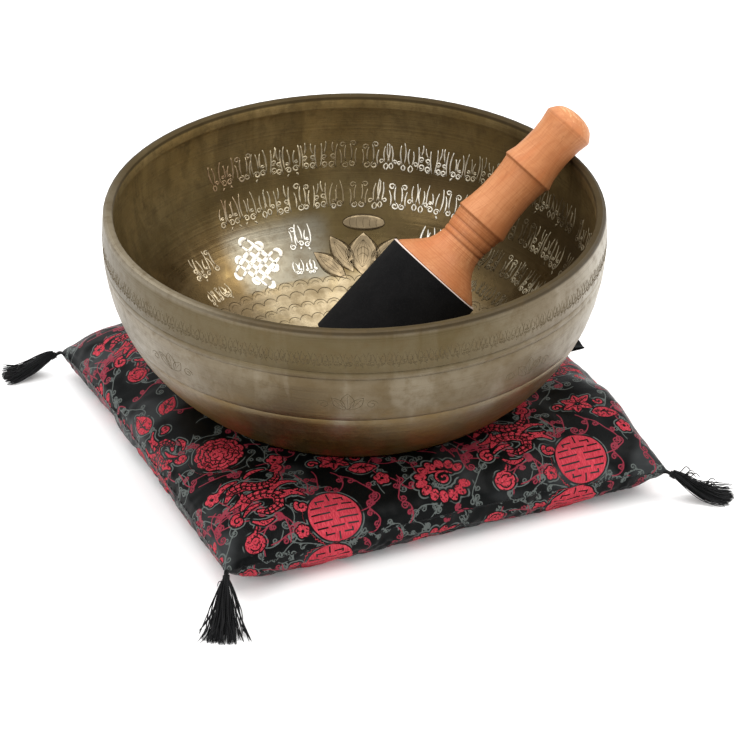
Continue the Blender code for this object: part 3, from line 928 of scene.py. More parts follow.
def cover_sheets(cells):
    """Top and bottom sheets of the cover before it is filled, as grids of points."""
    marks = np.linspace(-1.0, 1.0, cells + 1)
    marks = 0.6 * np.sin(0.5 * math.pi * marks) + 0.4 * marks
    u, v = np.meshgrid(marks, marks, indexing="ij")
    x = u * HALF_SIDE * (1.0 - SIDE_BOW * (1.0 - v ** 4))
    y = v * HALF_SIDE * (1.0 - SIDE_BOW * (1.0 - u ** 4))

    def fullness(power):
        return np.sqrt(np.clip((1.0 - np.abs(u) ** power) * (1.0 - np.abs(v) ** power), 0.0, 1.0))

    seam = SEAM_Z + SEAM_LIFT * (1.0 - u * u * v * v)
    top = np.stack([x, y, seam + CROWN * fullness(PLUMP)], axis=-1)
    bottom = np.stack([x, y, np.maximum(seam - KEEL * fullness(PLUMP_BELOW), FLOOR_CLEAR)], axis=-1)
    ear = np.exp(-((v + 0.55) / 0.30) ** 2) * np.clip((u - 0.66) / 0.26, 0.0, 1.0)
    ear *= (1.0 - u ** 24) * (1.0 - v ** 8)
    top += ear[..., None] * np.array(EAR)
    for sx, sy, shift in CORNER_DROOP:
        near = (np.clip(0.5 + 0.5 * sx * u, 0.0, 1.0) * np.clip(0.5 + 0.5 * sy * v, 0.0, 1.0)) ** 9
        top += near[..., None] * np.array(shift)
        bottom += near[..., None] * np.array(shift)
    bottom[..., 2] = np.maximum(bottom[..., 2], FLOOR_CLEAR)
    return u, v, top, bottom


def closed_cover(cells):
    """Rim, inner points and faces of a closed cover made of two grids that share their rim."""
    number = np.arange((cells + 1) ** 2).reshape(cells + 1, cells + 1)
    inner = np.zeros(number.shape, bool)
    inner[1:-1, 1:-1] = True
    below = number.copy()
    below[inner] = number.size + np.arange(inner.sum())
    upper_faces = [[a, d, c, b] for a, b, c, d in grid_faces(number)]
    return ~inner, inner, upper_faces + grid_faces(below)


CLOTH_SETTINGS = {
    "quality": 6,
    "mass": 0.12,
    "tension_stiffness": 22.0,
    "compression_stiffness": 22.0,
    "shear_stiffness": 8.0,
    "bending_stiffness": 0.25,
    "shrink_min": -0.012,
    "use_pressure": True,
    "uniform_pressure_force": SIM_PRESSURE,
    "vertex_group_mass": "held",
}


def inflate(top, bottom, cells):
    """Cloth simulation of the cover: pressure fills it while the bowl and the floor hold it down."""
    rim, inner, faces = closed_cover(cells)
    start = np.concatenate([top.reshape(-1, 3), bottom[inner]])
    piece = mesh_piece("cover_simulation", start, faces, None)
    held = piece.vertex_groups.new(name="held")
    radius = np.hypot(start[:, 0], start[:, 1])
    weight = np.clip((HELD_RADIUS - radius) / HELD_FADE, 0.0, 1.0)
    weight[start[:, 2] < FLOOR_CLEAR + 0.0002] = 1.0
    weight[:rim.size][rim.ravel()] = np.maximum(weight[:rim.size][rim.ravel()], 0.5)
    weight[np.abs(start[:, 0] * start[:, 1]) > (0.97 * HALF_SIDE) ** 2] = 1.0
    for k in np.nonzero(weight > 0.01)[0]:
        held.add([int(k)], float(weight[k]), "REPLACE")
    cloth = piece.modifiers.new("cloth", "CLOTH")
    for key, value in CLOTH_SETTINGS.items():
        setattr(cloth.settings, key, value)
    cloth.settings.effector_weights.gravity = 0.0
    cloth.collision_settings.use_collision = False
    scene = bpy.context.scene
    for frame_number in range(1, SIM_FRAMES + 1):
        scene.frame_set(frame_number)
    done = piece.evaluated_get(bpy.context.evaluated_depsgraph_get()).to_mesh()
    moved = np.array([v.co for v in done.vertices])
    scene.frame_set(1)
    bpy.data.objects.remove(piece)
    shift = moved - start
    size = np.linalg.norm(shift, axis=1, keepdims=True)
    shift *= np.minimum(1.0, SIM_CAP / np.maximum(size, 1e-9))
    count = top.shape[0] * top.shape[1]
    above = shift[:count].reshape(top.shape)
    for axis in (0, 1, 0, 1):
        spread = np.roll(above, 1, axis) + np.roll(above, -1, axis) - 2.0 * above
        above[1:-1, 1:-1] += 0.25 * spread[1:-1, 1:-1]
    settled = start + np.concatenate([above.reshape(-1, 3), shift[count:]])
    new_top = settled[:count].reshape(top.shape)
    new_bottom = bottom.copy()
    new_bottom[rim] = new_top[rim]
    new_bottom[inner] = settled[count:]
    return new_top, new_bottom


def refined(grid, times):
    """The grid's smooth surface at a finer spacing, by Catmull-Rom curves both ways."""
    cells = grid.shape[0] - 1
    at = np.linspace(0.0, cells, cells * times + 1)
    base = np.minimum(at.astype(int), cells - 1)
    t = at - base
    weights = np.zeros((len(at), cells + 1))
    curve = ((-1, 0.5 * (-t + 2 * t ** 2 - t ** 3)), (0, 0.5 * (2 - 5 * t ** 2 + 3 * t ** 3)),
             (1, 0.5 * (t + 4 * t ** 2 - 3 * t ** 3)), (2, 0.5 * (-t ** 2 + t ** 3)))
    for offset, share in curve:
        np.add.at(weights, (np.arange(len(at)), np.clip(base + offset, 0, cells)), share)
    return np.einsum("ai,ijk,bj->abk", weights, grid, weights, optimize=True)


def smooth_noise(shape, cells, seed):
    """Soft random hills over a grid, from -1 to 1."""
    rng = np.random.default_rng(seed)
    coarse = rng.uniform(-1.0, 1.0, (cells + 1, cells + 1, 1))
    times = -(-(shape[0] - 1) // cells)
    return refined(coarse, times)[:shape[0], :shape[1], 0]


def cloth_places(sheet):
    """Where each point lies on the flat cloth, by the lengths along both grid directions."""
    flat = np.zeros(sheet.shape[:2] + (2,))
    middle = sheet.shape[0] // 2
    along_x = np.linalg.norm(np.diff(sheet, axis=0), axis=2)
    flat[1:, :, 0] = np.cumsum(along_x, axis=0)
    flat[..., 0] -= flat[middle, :, 0]
    along_y = np.linalg.norm(np.diff(sheet, axis=1), axis=2)
    flat[:, 1:, 1] = np.cumsum(along_y, axis=1)
    flat[..., 1] -= flat[:, middle, 1][:, None]
    return flat


def pucker(sheet, marks, sign, seed):
    """Gathers the cloth next to the seam and adds slack folds across the free cloth."""
    u, v = marks[..., 0], marks[..., 1]
    edge_u, edge_v = 1.0 - np.abs(u), 1.0 - np.abs(v)
    edge = np.minimum(edge_u, edge_v) * HALF_SIDE
    along = np.where(edge_u < edge_v, v, u) * HALF_SIDE
    wobble = smooth_noise(u.shape, 16, seed)
    gather = np.sin(along * 2.0 * math.pi / GATHER_PITCH + 3.0 * wobble) * GATHER_DEPTH
    gather *= np.exp(-edge / 0.0048) * (1.0 - np.exp(-edge / 0.0008))
    folds = np.sin(along * 2.0 * math.pi / FOLD_PITCH + 5.0 * wobble) * FOLD_DEPTH
    folds *= np.exp(-edge / 0.016) * (1.0 - np.exp(-edge / 0.003))
    folds *= 0.6 + 0.4 * smooth_noise(u.shape, 9, seed + 1)
    slack = smooth_noise(u.shape, 20, seed + 2) * SLACK_DEPTH * np.clip(edge / 0.012, 0.0, 1.0)
    sheet[..., 2] += sign * (gather + folds + slack)
    return sheet


def clear_neighbours(points):
    """Keeps the cover off the bowl and above the floor."""
    points[:, 2] = np.maximum(points[:, 2], FLOOR_CLEAR)
    radius = np.hypot(points[:, 0], points[:, 1])
    for k in np.nonzero((radius < BOWL_HIGH.x) & (points[:, 2] > UNDER_BOWL))[0]:
        hit = BOWL_TREE.ray_cast(Vector((points[k, 0], points[k, 1], 0.001)), UP)
        if hit[0] is not None:
            points[k, 2] = min(points[k, 2], hit[0].z - BOWL_CLEAR)
    return points


# ---------------------------------------------------------------- brocade pattern, millimetres
def turned_back(p, degrees):
    """The points as seen in axes that are turned by some degrees."""
    c, s = math.cos(math.radians(degrees)), math.sin(math.radians(degrees))
    return np.stack([p[:, 0] * c + p[:, 1] * s, -p[:, 0] * s + p[:, 1] * c], axis=1)


def ellipse_field(p, centre, size, degrees):
    """Rough distance to an ellipse, negative inside."""
    reach = np.linalg.norm(turned_back(p - np.array(centre), degrees) / np.array(size), axis=1)
    return (reach - 1.0) * min(size)


def combined(*fields):
    """Distance to the nearest of several shapes."""
    return np.minimum.reduce(fields)


def beside(p, a, b):
    """Share of a segment, 0 to 1, at each point's nearest place on it, and the point's offset from there."""
    run = b - a
    t = np.clip(((p - a) @ run) / max(run @ run, 1e-9), 0.0, 1.0)
    return t, p - a - t[:, None] * run


def band_field(p, route, widths):
    """Distance to a band that follows a route and changes width along it, negative inside."""
    route = np.array(route, float)
    widths = np.interp(np.linspace(0.0, 1.0, len(route)), np.linspace(0.0, 1.0, len(widths)), widths)
    field = np.full(len(p), 99.0)
    for (a, b), (wa, wb) in zip(zip(route, route[1:]), zip(widths, widths[1:])):
        t, offset = beside(p, a, b)
        gap = np.linalg.norm(offset, axis=1) - 0.5 * (wa + (wb - wa) * t)
        field = np.minimum(field, gap)
    return field


def leaf_field(p, foot, tip, swell):
    """Pointed leaf between two points."""
    foot, tip = np.array(foot, float), np.array(tip, float)
    run = tip - foot
    size = np.linalg.norm(run)
    x = (p - foot) @ run / size
    y = np.abs((p - foot) @ np.array([-run[1], run[0]]) / size)
    t = np.clip(x / size, 0.0, 1.0)
    outline = swell * np.sin(math.pi * t ** 0.8) ** 0.9
    beyond = np.maximum(np.maximum(-x, x - size), 0.0)
    return np.hypot(np.maximum(y - outline, 0.0), beyond) - np.maximum(outline - y, 0.0) * 0.8 * (beyond == 0)


def medallion(p):
    """Round badge; its fretwork is cut by the cloth's shader."""
    return np.linalg.norm(p, axis=1) - BADGE_RADIUS


def chrysanthemum(p):
    """Round bloom; its rings of petals are cut by the cloth's shader."""
    return np.linalg.norm(p, axis=1) - BLOOM_RADIUS


def wreath(p):
    """Ring of separate round petals about an open middle with a few lines."""
    petals = []
    for k in range(13):
        degrees = 30.0 + 300.0 * k / 12.0
        at = (11.3 * math.cos(math.radians(degrees)), 9.8 * math.sin(math.radians(degrees)))
        petals.append(ellipse_field(p, at, (3.1, 2.1), degrees + 12.0))
    curl = band_field(p, spiral((0.5, 0.5), 4.6, 40, 1.3), (1.2, 1.0))
    return combined(*petals, curl, band_field(p, bend((-6.0, 5.5), (5.5, 2.0), 1.5, 8), (1.1, 0.8)))


def blossom(p, size=3.3):
    """Five round petals about a small eye."""
    turns = [2.0 * math.pi * k / 5.0 + 0.3 for k in range(5)]
    centres = [0.62 * size * np.array([math.cos(t), math.sin(t)]) for t in turns]
    petals = [np.linalg.norm(p - centre, axis=1) - 0.46 * size for centre in centres]
    return np.maximum(combined(*petals), 0.85 - np.linalg.norm(p, axis=1))


def bud(p):
    """Round bud with a flick of a leaf over it."""
    ball = np.linalg.norm(p * np.array([1.0, 1.08]), axis=1) - 5.2
    return combined(ball, band_field(p, bend((-2.0, 4.0), (4.0, 8.2), -1.2, 6), (2.0, 0.7)))


def leaf(p):
    return leaf_field(p, (-8.0, -2.0), (8.0, 2.5), 4.7)


# direction in degrees, length and half width of each leaf of the spray
SPRAY_LEAVES = (
    (10, 9.5, 2.2),
    (62, 8.0, 2.0),
    (115, 9.0, 2.2),
    (170, 8.5, 2.4),
    (228, 7.0, 1.9),
    (300, 8.0, 2.1),
)


def spray(p):
    """Cluster of small pointed leaves with tendrils."""
    fields = []
    for degrees, reach, swell in SPRAY_LEAVES:
        foot, tip = turned_route([(1.2, 0.0), (reach, 0.0)], degrees)
        fields.append(leaf_field(p, foot, tip, swell))
    for centre, start in (((10.5, -4.5), 150), ((-9.5, 5.5), -30)):
        fields.append(band_field(p, spiral(centre, 2.6, start, 1.1, 16), (1.1, 0.8)))
    return combined(*fields)


# the cloud scroll's two ribbons and its wisps: a route, and widths along it
SCROLL_SPINES = (
    ([(-16, 7), (-11, 10.5), (-5, 10), (0, 6.5), (6, 5.5), (11, 8.5), (13.5, 13)],
     (1.4, 4.6, 5.4, 5.0, 3.8, 2.6, 1.2)),
    ([(-13, -3), (-7, 1.5), (0, 0.5), (5, -3.5), (3, -9), (-3, -10.5), (-7, -8)],
     (1.2, 4.8, 5.4, 4.8, 4.2, 3.2, 1.4)),
)
SCROLL_WISPS = (
    (bend((-19, 12), (-6, 15), 2.2), (0.8, 2.8, 0.7)),
    (bend((-17, 1), (-8, 5.5), -1.8), (0.8, 2.6, 0.8)),
    (bend((5, 1.5), (17, 1.0), 2.4), (2.4, 2.4, 0.7)),
    (bend((7, -5), (16, -9.5), 2.0), (2.2, 2.0, 0.7)),
    (bend((-12, -12), (-3, -15), -1.8), (0.8, 2.5, 0.7)),
    (spiral((14.5, 16.0), 3.0, 200, 1.3, 18), (1.7, 1.1)),
    (spiral((-17.5, -7.5), 3.4, 60, 1.3, 18), (1.8, 1.1)),
    (spiral((11.5, -14.5), 3.0, 120, 1.2, 18), (1.7, 1.1)),
    (bend((-2, 15), (9, 17.5), 1.6), (0.7, 2.2, 0.7)),
    (bend((-14, -7), (-4, -4.5), 1.2), (0.7, 2.0, 0.7)),
    (bend((8, -1.5), (15, -4.0), -1.0), (0.7, 1.8, 0.7)),
)


def cloud_scroll(p):
    """Large cloud scroll: a winding ribbon with curled ends and flame-shaped wisps."""
    return combined(*[band_field(p, route, widths) for route, widths in SCROLL_SPINES + SCROLL_WISPS])


def scroll_cuts():
    """Dark lines inside the cloud scroll: a spine and rows of scales."""
    routes = []
    for points, _ in SCROLL_SPINES:
        spine = [tuple(q) for q in smooth_route(points, 30)]
        routes.append(spine[3:-3])
        for k in range(3, 28, 2):
            (x, y), (nx, ny) = spine[k], spine[k + 1]
            size = math.hypot(nx - x, ny - y)
            ux, uy = (nx - x) / size, (ny - y) / size
            for side in (-1.0, 1.0):
                tip = (x + side * 2.3 * -uy + 1.0 * ux, y + side * 2.3 * ux + 1.0 * uy)
                routes.append(bend((x + side * 0.7 * -uy, y + side * 0.7 * ux), tip, side * 0.5, 4))
    return routes


def smooth_route(points, steps):
    """Catmull-Rom curve through a few points."""
    points = [np.array(p, float) for p in points]
    points = [2 * points[0] - points[1], *points, 2 * points[-1] - points[-2]]
    route = []
    spans = len(points) - 3
    for k in range(steps + 1):
        at = min(k / steps * spans, spans - 1e-6)
        i, t = int(at), at - int(at)
        a, b, c, d = points[i:i + 4]
        route.append(0.5 * (2 * b + (c - a) * t + (2 * a - 5 * b + 4 * c - d) * t ** 2
                            + (3 * b - a - 3 * c + d) * t ** 3))
    return route


CUTS = {
    cloud_scroll: scroll_cuts(),
    spray: [turned_route([(1.8, 0.0), (0.5 * reach, 0.0), (0.8 * reach, 0.0)], degrees)
            for degrees, reach, _ in SPRAY_LEAVES],
    leaf: [bend((-6.0, -1.4), (5.0, 1.8), 0.6, 6), bend((-2.5, -0.6), (-0.5, 2.2), 0.3, 4),
           bend((0.0, 0.3), (2.0, -2.0), 0.3, 4)],
    bud: [arc((0.0, -0.5), 3.0, 200, 340, 9), arc((0.8, 1.0), 2.2, 20, 150, 8)],
}

# place in the repeat, angle in degrees, scale, figure
FIGURES = (
    (0.0, 0.0, 0.0, 1.0, medallion),
    (-28.0, 23.0, 6.0, 1.08, cloud_scroll),
    (-43.0, -3.0, 0.0, 1.0, bud),
    (-18.0, -4.0, 0.0, 1.0, blossom),
    (59.5, 5.5, 0.0, 1.0, wreath),
    (14.0, 35.0, 20.0, 1.0, spray),
    (25.0, 25.0, -25.0, 0.85, leaf),
    (-34.0, 67.0, 0.0, 1.0, chrysanthemum),
    (-51.0, 36.0, 0.0, 1.15, blossom),
    (31.0, 15.0, 0.0, 1.15, blossom),
    (-56.0, 119.0, 75.0, 1.0, leaf),
    (-40.0, 121.0, 30.0, 0.9, leaf),
    (-60.0, 92.0, 100.0, 0.9, cloud_scroll),
    (20.0, 76.0, -12.0, 1.0, cloud_scroll),
    (52.0, 60.0, 0.0, 1.0, medallion),
    (-8.0, 112.0, 15.0, 1.0, wreath),
    (34.0, 118.0, 0.0, 0.95, chrysanthemum),
    (58.0, 140.0, 10.0, 0.9, spray),
    (4.0, 140.0, 40.0, 0.9, leaf),
    (58.0, 98.0, 0.0, 1.1, blossom),
    (45.0, 36.0, 60.0, 0.8, spray),
    (-22.0, 140.0, 0.0, 0.9, spray),
    (-12.0, 48.0, 0.0, 1.2, blossom),
)


def cut_routes():
    """Dark lines inside all the repeat's figures."""
    routes = []
    for dx, dy, degrees, scale, shape in FIGURES:
        for route in CUTS.get(shape, ()):
            turned = turned_route([(scale * x, scale * y) for x, y in route], degrees)
            routes.append([(x + dx, y + dy) for x, y in turned])
    return routes


def tendrils(seed, count):
    """Routes of curling tendrils in one repeat, each with side curls."""
    rng = random.Random(seed)
    routes = []
    for _ in range(count):
        x, y = rng.uniform(0.0, REPEAT_X), rng.uniform(0.0, REPEAT_Y)
        heading = rng.uniform(0.0, 2.0 * math.pi)
        turn = rng.uniform(-0.16, 0.16)
        route = [(x, y)]
        for step in range(rng.randint(9, 16)):
            turn = 0.86 * turn + rng.uniform(-0.14, 0.14)
            heading += turn
            x, y = x + 1.5 * math.cos(heading), y + 1.5 * math.sin(heading)
            route.append((x, y))
            if step % 6 == 3:
                side = rng.choice((-1.0, 1.0))
                away = heading + side * 1.2
                centre = (x + 2.0 * math.cos(away), y + 2.0 * math.sin(away))
                routes.append(spiral(centre, 2.0, math.degrees(away) + 180.0, side * 1.15, 13, 0.15))
        side = math.copysign(1.0, turn)
        centre = (x - side * 2.4 * math.sin(heading), y + side * 2.4 * math.cos(heading))
        curl = spiral(centre, 2.4, math.degrees(heading) - side * 90.0, side * 1.3, 15, 0.12)
        routes.append(route + [tuple(q) for q in curl[1:]])
    return routes


def nearest_on(p, route):
    """Distance to a thin line, and the same with its sign changing from one side of the line to the other."""
    best = np.full(len(p), FAR)
    signed = np.full(len(p), FAR)
    for a, b in zip(route, route[1:]):
        run, offset = b - a, beside(p, a, b)[1]
        gap = np.hypot(offset[:, 0], offset[:, 1])
        side = np.sign(run[0] * offset[:, 1] - run[1] * offset[:, 0])
        closer = gap < best
        best[closer] = gap[closer]
        signed[closer] = (gap * side)[closer]
    return best, signed


def repeats():
    """Where each copy of the repeat starts."""
    steps = range(-3, 4)
    start = np.array(REPEAT_START)
    return [start + (i * REPEAT_X, j * REPEAT_Y) for i in steps for j in steps]


def line_field(p, routes):
    """Distance and signed distance to the nearest of the repeat's thin lines, over all its copies."""
    field = np.full(len(p), FAR)
    signed = np.full(len(p), FAR)
    low, high = p.min(axis=0) - FAR, p.max(axis=0) + FAR
    order = np.argsort(p[:, 0])
    ordered = p[order, 0]
    for r in [np.array(route) + start for route in routes for start in repeats()]:
        r_low, r_high = r.min(axis=0) - LINE_REACH, r.max(axis=0) + LINE_REACH
        if (r_low > high).any() or (r_high < low).any():
            continue
        first, last = np.searchsorted(ordered, (r_low[0], r_high[0]))
        near = order[first:last]
        near = near[(p[near, 1] > r_low[1]) & (p[near, 1] < r_high[1])]
        if len(near):
            gap, side = nearest_on(p[near], r)
            closer = gap < field[near]
            field[near[closer]] = gap[closer]
            signed[near[closer]] = side[closer]
    return field, signed


def brocade_fields(places):
    """Signed distance to the woven figures in millimetres, and places inside the badges and the blooms."""
    p = places / MM
    figure = np.full(len(p), FAR)
    halo = np.full(len(p), FAR)
    inside = {shape: np.full((len(p), 2), AWAY) for shape in (medallion, chrysanthemum)}
    low, high = p.min(axis=0) - FIGURE_REACH, p.max(axis=0) + FIGURE_REACH
    for start, (dx, dy, degrees, scale, shape) in [(start, f) for start in repeats() for f in FIGURES]:
        at = start + (dx, dy)
        if (at < low).any() or (at > high).any():
            continue
        near = np.nonzero((np.abs(p - at) < FIGURE_REACH * scale).all(axis=1))[0]
        if not len(near):
            continue
        local = turned_back(p[near] - at, degrees) / scale
        body = scale * shape(local)
        halo[near] = np.minimum(halo[near], body)
        if shape in inside:
            close = np.linalg.norm(local, axis=1) < 16.0
            inside[shape][near[close]] = local[close]
        else:
            figure[near] = np.minimum(figure[near], body)
    return {"figure": np.clip(figure, -FAR, FAR), "halo": np.clip(halo, -FAR, FAR),
            "badge": with_third(inside[medallion], 0.0), "bloom": with_third(inside[chrysanthemum], 0.0)}


# fretwork of the badge: how far out each bar lies, where it starts and where it ends, millimetres
BARS_ACROSS = ((1.9, 1.7, 11.6), (5.4, 0.0, 3.6), (5.4, 5.2, 10.8), (8.9, 2.4, 6.6))
BARS_ALONG = ((0.0, 8.2, 12.4), (6.9, 7.2, 9.4))
BAR_HALF = 0.42
NO_CUT = 99.0                # farther from a cut than any point is


def polar(n, name):
    """Distance from the middle of a badge or bloom, and the two coordinates in it."""
    x, y, _ = n.split(n.attribute(name, "Vector"))
    return n.math("SQRT", x * x + y * y), x, y


def badge(n):
    """Red disc cut by bars that mirror each other: 1 where red is woven."""
    radius, x, y = polar(n, "badge")
    x, y = abs(x), abs(y)
    cuts = radius + NO_CUT
    for along, across, bars in ((y, x, BARS_ACROSS), (x, y, BARS_ALONG)):
        for level, start, end in bars:
            off = abs(along - level) - BAR_HALF
            outside = n.math("MAXIMUM", start - across, across - end)
            cuts = n.math("MINIMUM", cuts, n.math("MAXIMUM", off, outside))
    disc = radius - BADGE_RADIUS
    return n.fall(n.math("MAXIMUM", disc, cuts * -1.0), -0.12, 0.12)


# radius of each ring of the bloom in millimetres, its lobes and the angle that they start at
BLOOM_RINGS = ((9.3, 11, 0.4), (6.6, 9, 1.1), (4.2, 7, 0.2))


def bloom(n):
    """Round flower cut into rings of petals: 1 where red is woven."""
    radius, x, y = polar(n, "bloom")
    angle = n.math("ARCTAN2", y, x)

    def lobes(count, phase):
        return abs(n.math("COSINE", angle * (0.5 * count) + phase))

    edge = radius - 11.4 - lobes(11, 0.4) * 1.3
    cuts = radius + NO_CUT
    for ring, count, phase in BLOOM_RINGS:
        off = radius - ring - lobes(count, phase) * 1.15
        cuts = n.math("MINIMUM", cuts, abs(off) - 0.34)
        ray = lobes(count, phase) * radius * (2.0 / count)
        reach = abs(radius - (ring + 1.6)) - 1.5
        cuts = n.math("MINIMUM", cuts, n.math("MAXIMUM", ray - 0.26, reach))
    return n.fall(n.math("MAXIMUM", edge, cuts * -1.0), -0.14, 0.14)


def drawn_line(n, name, half):
    """1 on the thin lines of one kind."""
    off = abs(n.attribute(name + "_side"))
    line = n.fall(off, half - 0.12, half + 0.12)
    return line * n.fall(n.attribute(name), 0.58, 0.70)


def brocade():
    """Satin ground with woven red figures, thin crimson scrolls, grey tendrils and patches of painted sheen.
    """
    n = Nodes("satin_brocade")
    cloth = n.attribute("cloth", "Vector")
    halo = n.attribute("halo")
    ragged = (n.noise(cloth, 1300.0, 3.0) - 0.5) * 0.30
    flecks = n.rise(n.noise(cloth, 760.0, 2.0, 0.6), 0.545, 0.585)
    woven = n.math("MAXIMUM", n.fall(n.attribute("figure") + ragged, -0.14, 0.14), bloom(n))
    red = n.math("MAXIMUM", woven * (1.0 - flecks * 0.85), badge(n)) * (1.0 - drawn_line(n, "cut_line", 0.34))

    outline = n.fall(abs(halo - 1.2), 0.20, 0.42) * n.rise(n.noise(cloth, 120.0, 1.0), 0.42, 0.52)
    clear = n.rise(halo, 0.5, 0.8)
    grey = n.math("MAXIMUM", drawn_line(n, "grey_line", 0.25), outline) * clear
    crimson = drawn_line(n, "red_line", 0.30) * clear

    x, y, _ = n.split(cloth)
    twill = n.math("SINE", (x + y * 0.45) * 15000.0)
    picks = n.noise(n.scaled(cloth, 1.0, 0.12, 1.0), 2600.0, 2.0)
    tone = n.noise(cloth, 46.0, 3.0)
    # painted sheen: soft grey patches laid over the black satin ground
    satin = n.rise(n.noise(cloth, 21.0, 2.0, 0.4), 0.52, 0.68, 0.80)
    figures = n.coats(
        n.mix(n.rise(picks, 0.35, 0.68), (0.350, 0.024, 0.040), (0.560, 0.060, 0.082)),
        (n.fall(tone, 0.40, 0.58) * 0.30, (0.260, 0.014, 0.026)),
    )
    colour = n.coats(
        n.mix(n.rise(tone, 0.3, 0.7), (0.0018, 0.0022, 0.0023), (0.0034, 0.0040, 0.0041)),
        (n.rise(picks, 0.55, 0.75) * 0.5, (0.0062, 0.0070, 0.0070)),
        # painted sheen
        (satin, (0.0330, 0.0355, 0.0368)),
        (grey * 0.9, (0.105, 0.120, 0.113)),
        (crimson * 0.9, (0.240, 0.026, 0.045)),
        (red, figures),
    )
    rough = red * 0.23 + (picks - 0.5) * 0.20 + 0.37
    raised = n.math("MAXIMUM", red, n.math("MAXIMUM", grey, crimson) * 0.5)
    relief = n.bump(twill * 0.15 + picks, 0.00006, 0.55, n.bump(raised, 0.00016, 0.8))
    relief = n.bump(n.noise(cloth, 150.0, 3.0), 0.00025, 0.25, relief)
    return n.finish(Base_Color=colour, Roughness=rough, Normal=relief, Specular_IOR_Level=0.06)


BROCADE = brocade()


def make_cover():
    """The filled cushion cover as one closed piece, with the pattern's fields on its points."""
    u, v, top, bottom = cover_sheets(COARSE)
    top, bottom = inflate(top, bottom, COARSE)
    marks = np.clip(refined(np.stack([u, v], axis=-1), REFINE), -1.0, 1.0)
    top = pucker(refined(top, REFINE), marks, 1.0, 5)
    bottom = pucker(refined(bottom, REFINE), marks, -1.0, 8)
    _, inner, faces = closed_cover(COARSE * REFINE)
    points = clear_neighbours(np.concatenate([top.reshape(-1, 3), bottom[inner]]))
    cover = mesh_piece("cushion_cover", points, faces, BROCADE)

    above = cloth_places(top).reshape(-1, 2)
    below = cloth_places(bottom)[inner] - np.array(UNDERSIDE_SHIFT) * MM
    upper, lower = brocade_fields(above), brocade_fields(below)
    for name in upper:
        store(cover, name, np.concatenate([upper[name], lower[name]]))
    places = np.concatenate([above, below]) / MM
    lines = (("grey_line", tendrils(*GREY_TENDRILS)), ("red_line", tendrils(*RED_TENDRILS)),
             ("cut_line", cut_routes()))
    for name, routes in lines:
        gap, side = line_field(places, routes)
        store(cover, name, gap)
        store(cover, name + "_side", side)
    store(cover, "cloth", np.concatenate([with_third(above, 0.0), with_third(below, 0.4)]))
    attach(cover, "cushion")
    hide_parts("cushion_top_panel", "cushion_bottom_panel", "cushion_filling")
    return top


RIM = make_cover()


# ---------------------------------------------------------------- seam and side tab
def spoke(side, other, turn):
    """Unit vector at an angle between two directions that are square to each other."""
    return side * math.cos(turn) + other * math.sin(turn)


def direction_at(route, i):
    """Direction of a route at one of its points."""
    return (route[min(i + 1, len(route) - 1)] - route[max(i - 1, 0)]).normalized()


def tube(points, faces, route, radii, sides):
    """Adds a tube with closed ends along a route to lists of points and faces."""
    route = [Vector(p) for p in route]
    last = len(route) - 1
    first = len(points)
    side = direction_at(route, 0).orthogonal().normalized()
    for i, (at, radius) in enumerate(zip(route, radii)):
        along = direction_at(route, i)
        side = (side - along * side.dot(along)).normalized()
        other = along.cross(side)
        points += [at + spoke(side, other, 2.0 * math.pi * k / sides) * radius for k in range(sides)]
    for a in range(first, first + last * sides, sides):
        for k in range(sides):
            m = (k + 1) % sides
            faces.append((a + k, a + m, a + m + sides, a + k + sides))
    faces.append(tuple(first + k for k in reversed(range(sides))))
    faces.append(tuple(first + last * sides + k for k in range(sides)))


def thread_black(name, colour, roughness, grain):
    """Black twisted thread with a dull sheen."""
    n = Nodes(name)
    fibre = n.noise(n.place, grain, 3.0, 0.4)
    shade = n.mix(n.rise(fibre, 0.35, 0.70), colour, tuple(2.0 * c for c in colour))
    rough = fibre * 0.25 + roughness
    return n.finish(Base_Color=shade, Roughness=rough, Normal=n.bump(fibre, 0.00008, 0.7),
                    Specular_IOR_Level=0.16, Sheen_Weight=0.01)


CORD_BLACK = thread_black("twisted_black_cord", (0.0030, 0.0030, 0.0034), 0.42, 3000.0)
STRAND_BLACK = thread_black("loose_black_threads", (0.0026, 0.0027, 0.0032), 0.40, 1800.0)


def make_seam(rim_grid):
    """Whip stitches that close the cover along its seam."""
    points, faces = [], []
    rise = STITCH_RISE * UP
    for edge in (rim_grid[:, 0], rim_grid[-1, :], rim_grid[::-1, -1], rim_grid[0, ::-1]):
        lengths = lengths_from(np.linalg.norm(np.diff(edge, axis=0), axis=1))
        count = int(lengths[-1] / STITCH_PITCH)
        for k in range(2, count - 1):
            ends = [(k + share) * lengths[-1] / count for share in (-0.26, 0.0, 0.26)]
            start, middle, end = (Vector([np.interp(e, lengths, edge[:, axis]) for axis in range(3)])
                                  for e in ends)
            out = Vector((middle.x, middle.y, 0.0)).normalized() * STITCH_OUT
            tube(points, faces, [start + rise, middle + out, end - rise], STITCH_RADII, 5)
    stitches = mesh_piece("seam_stitches", points, faces, CORD_BLACK)
    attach(stitches, "cushion")


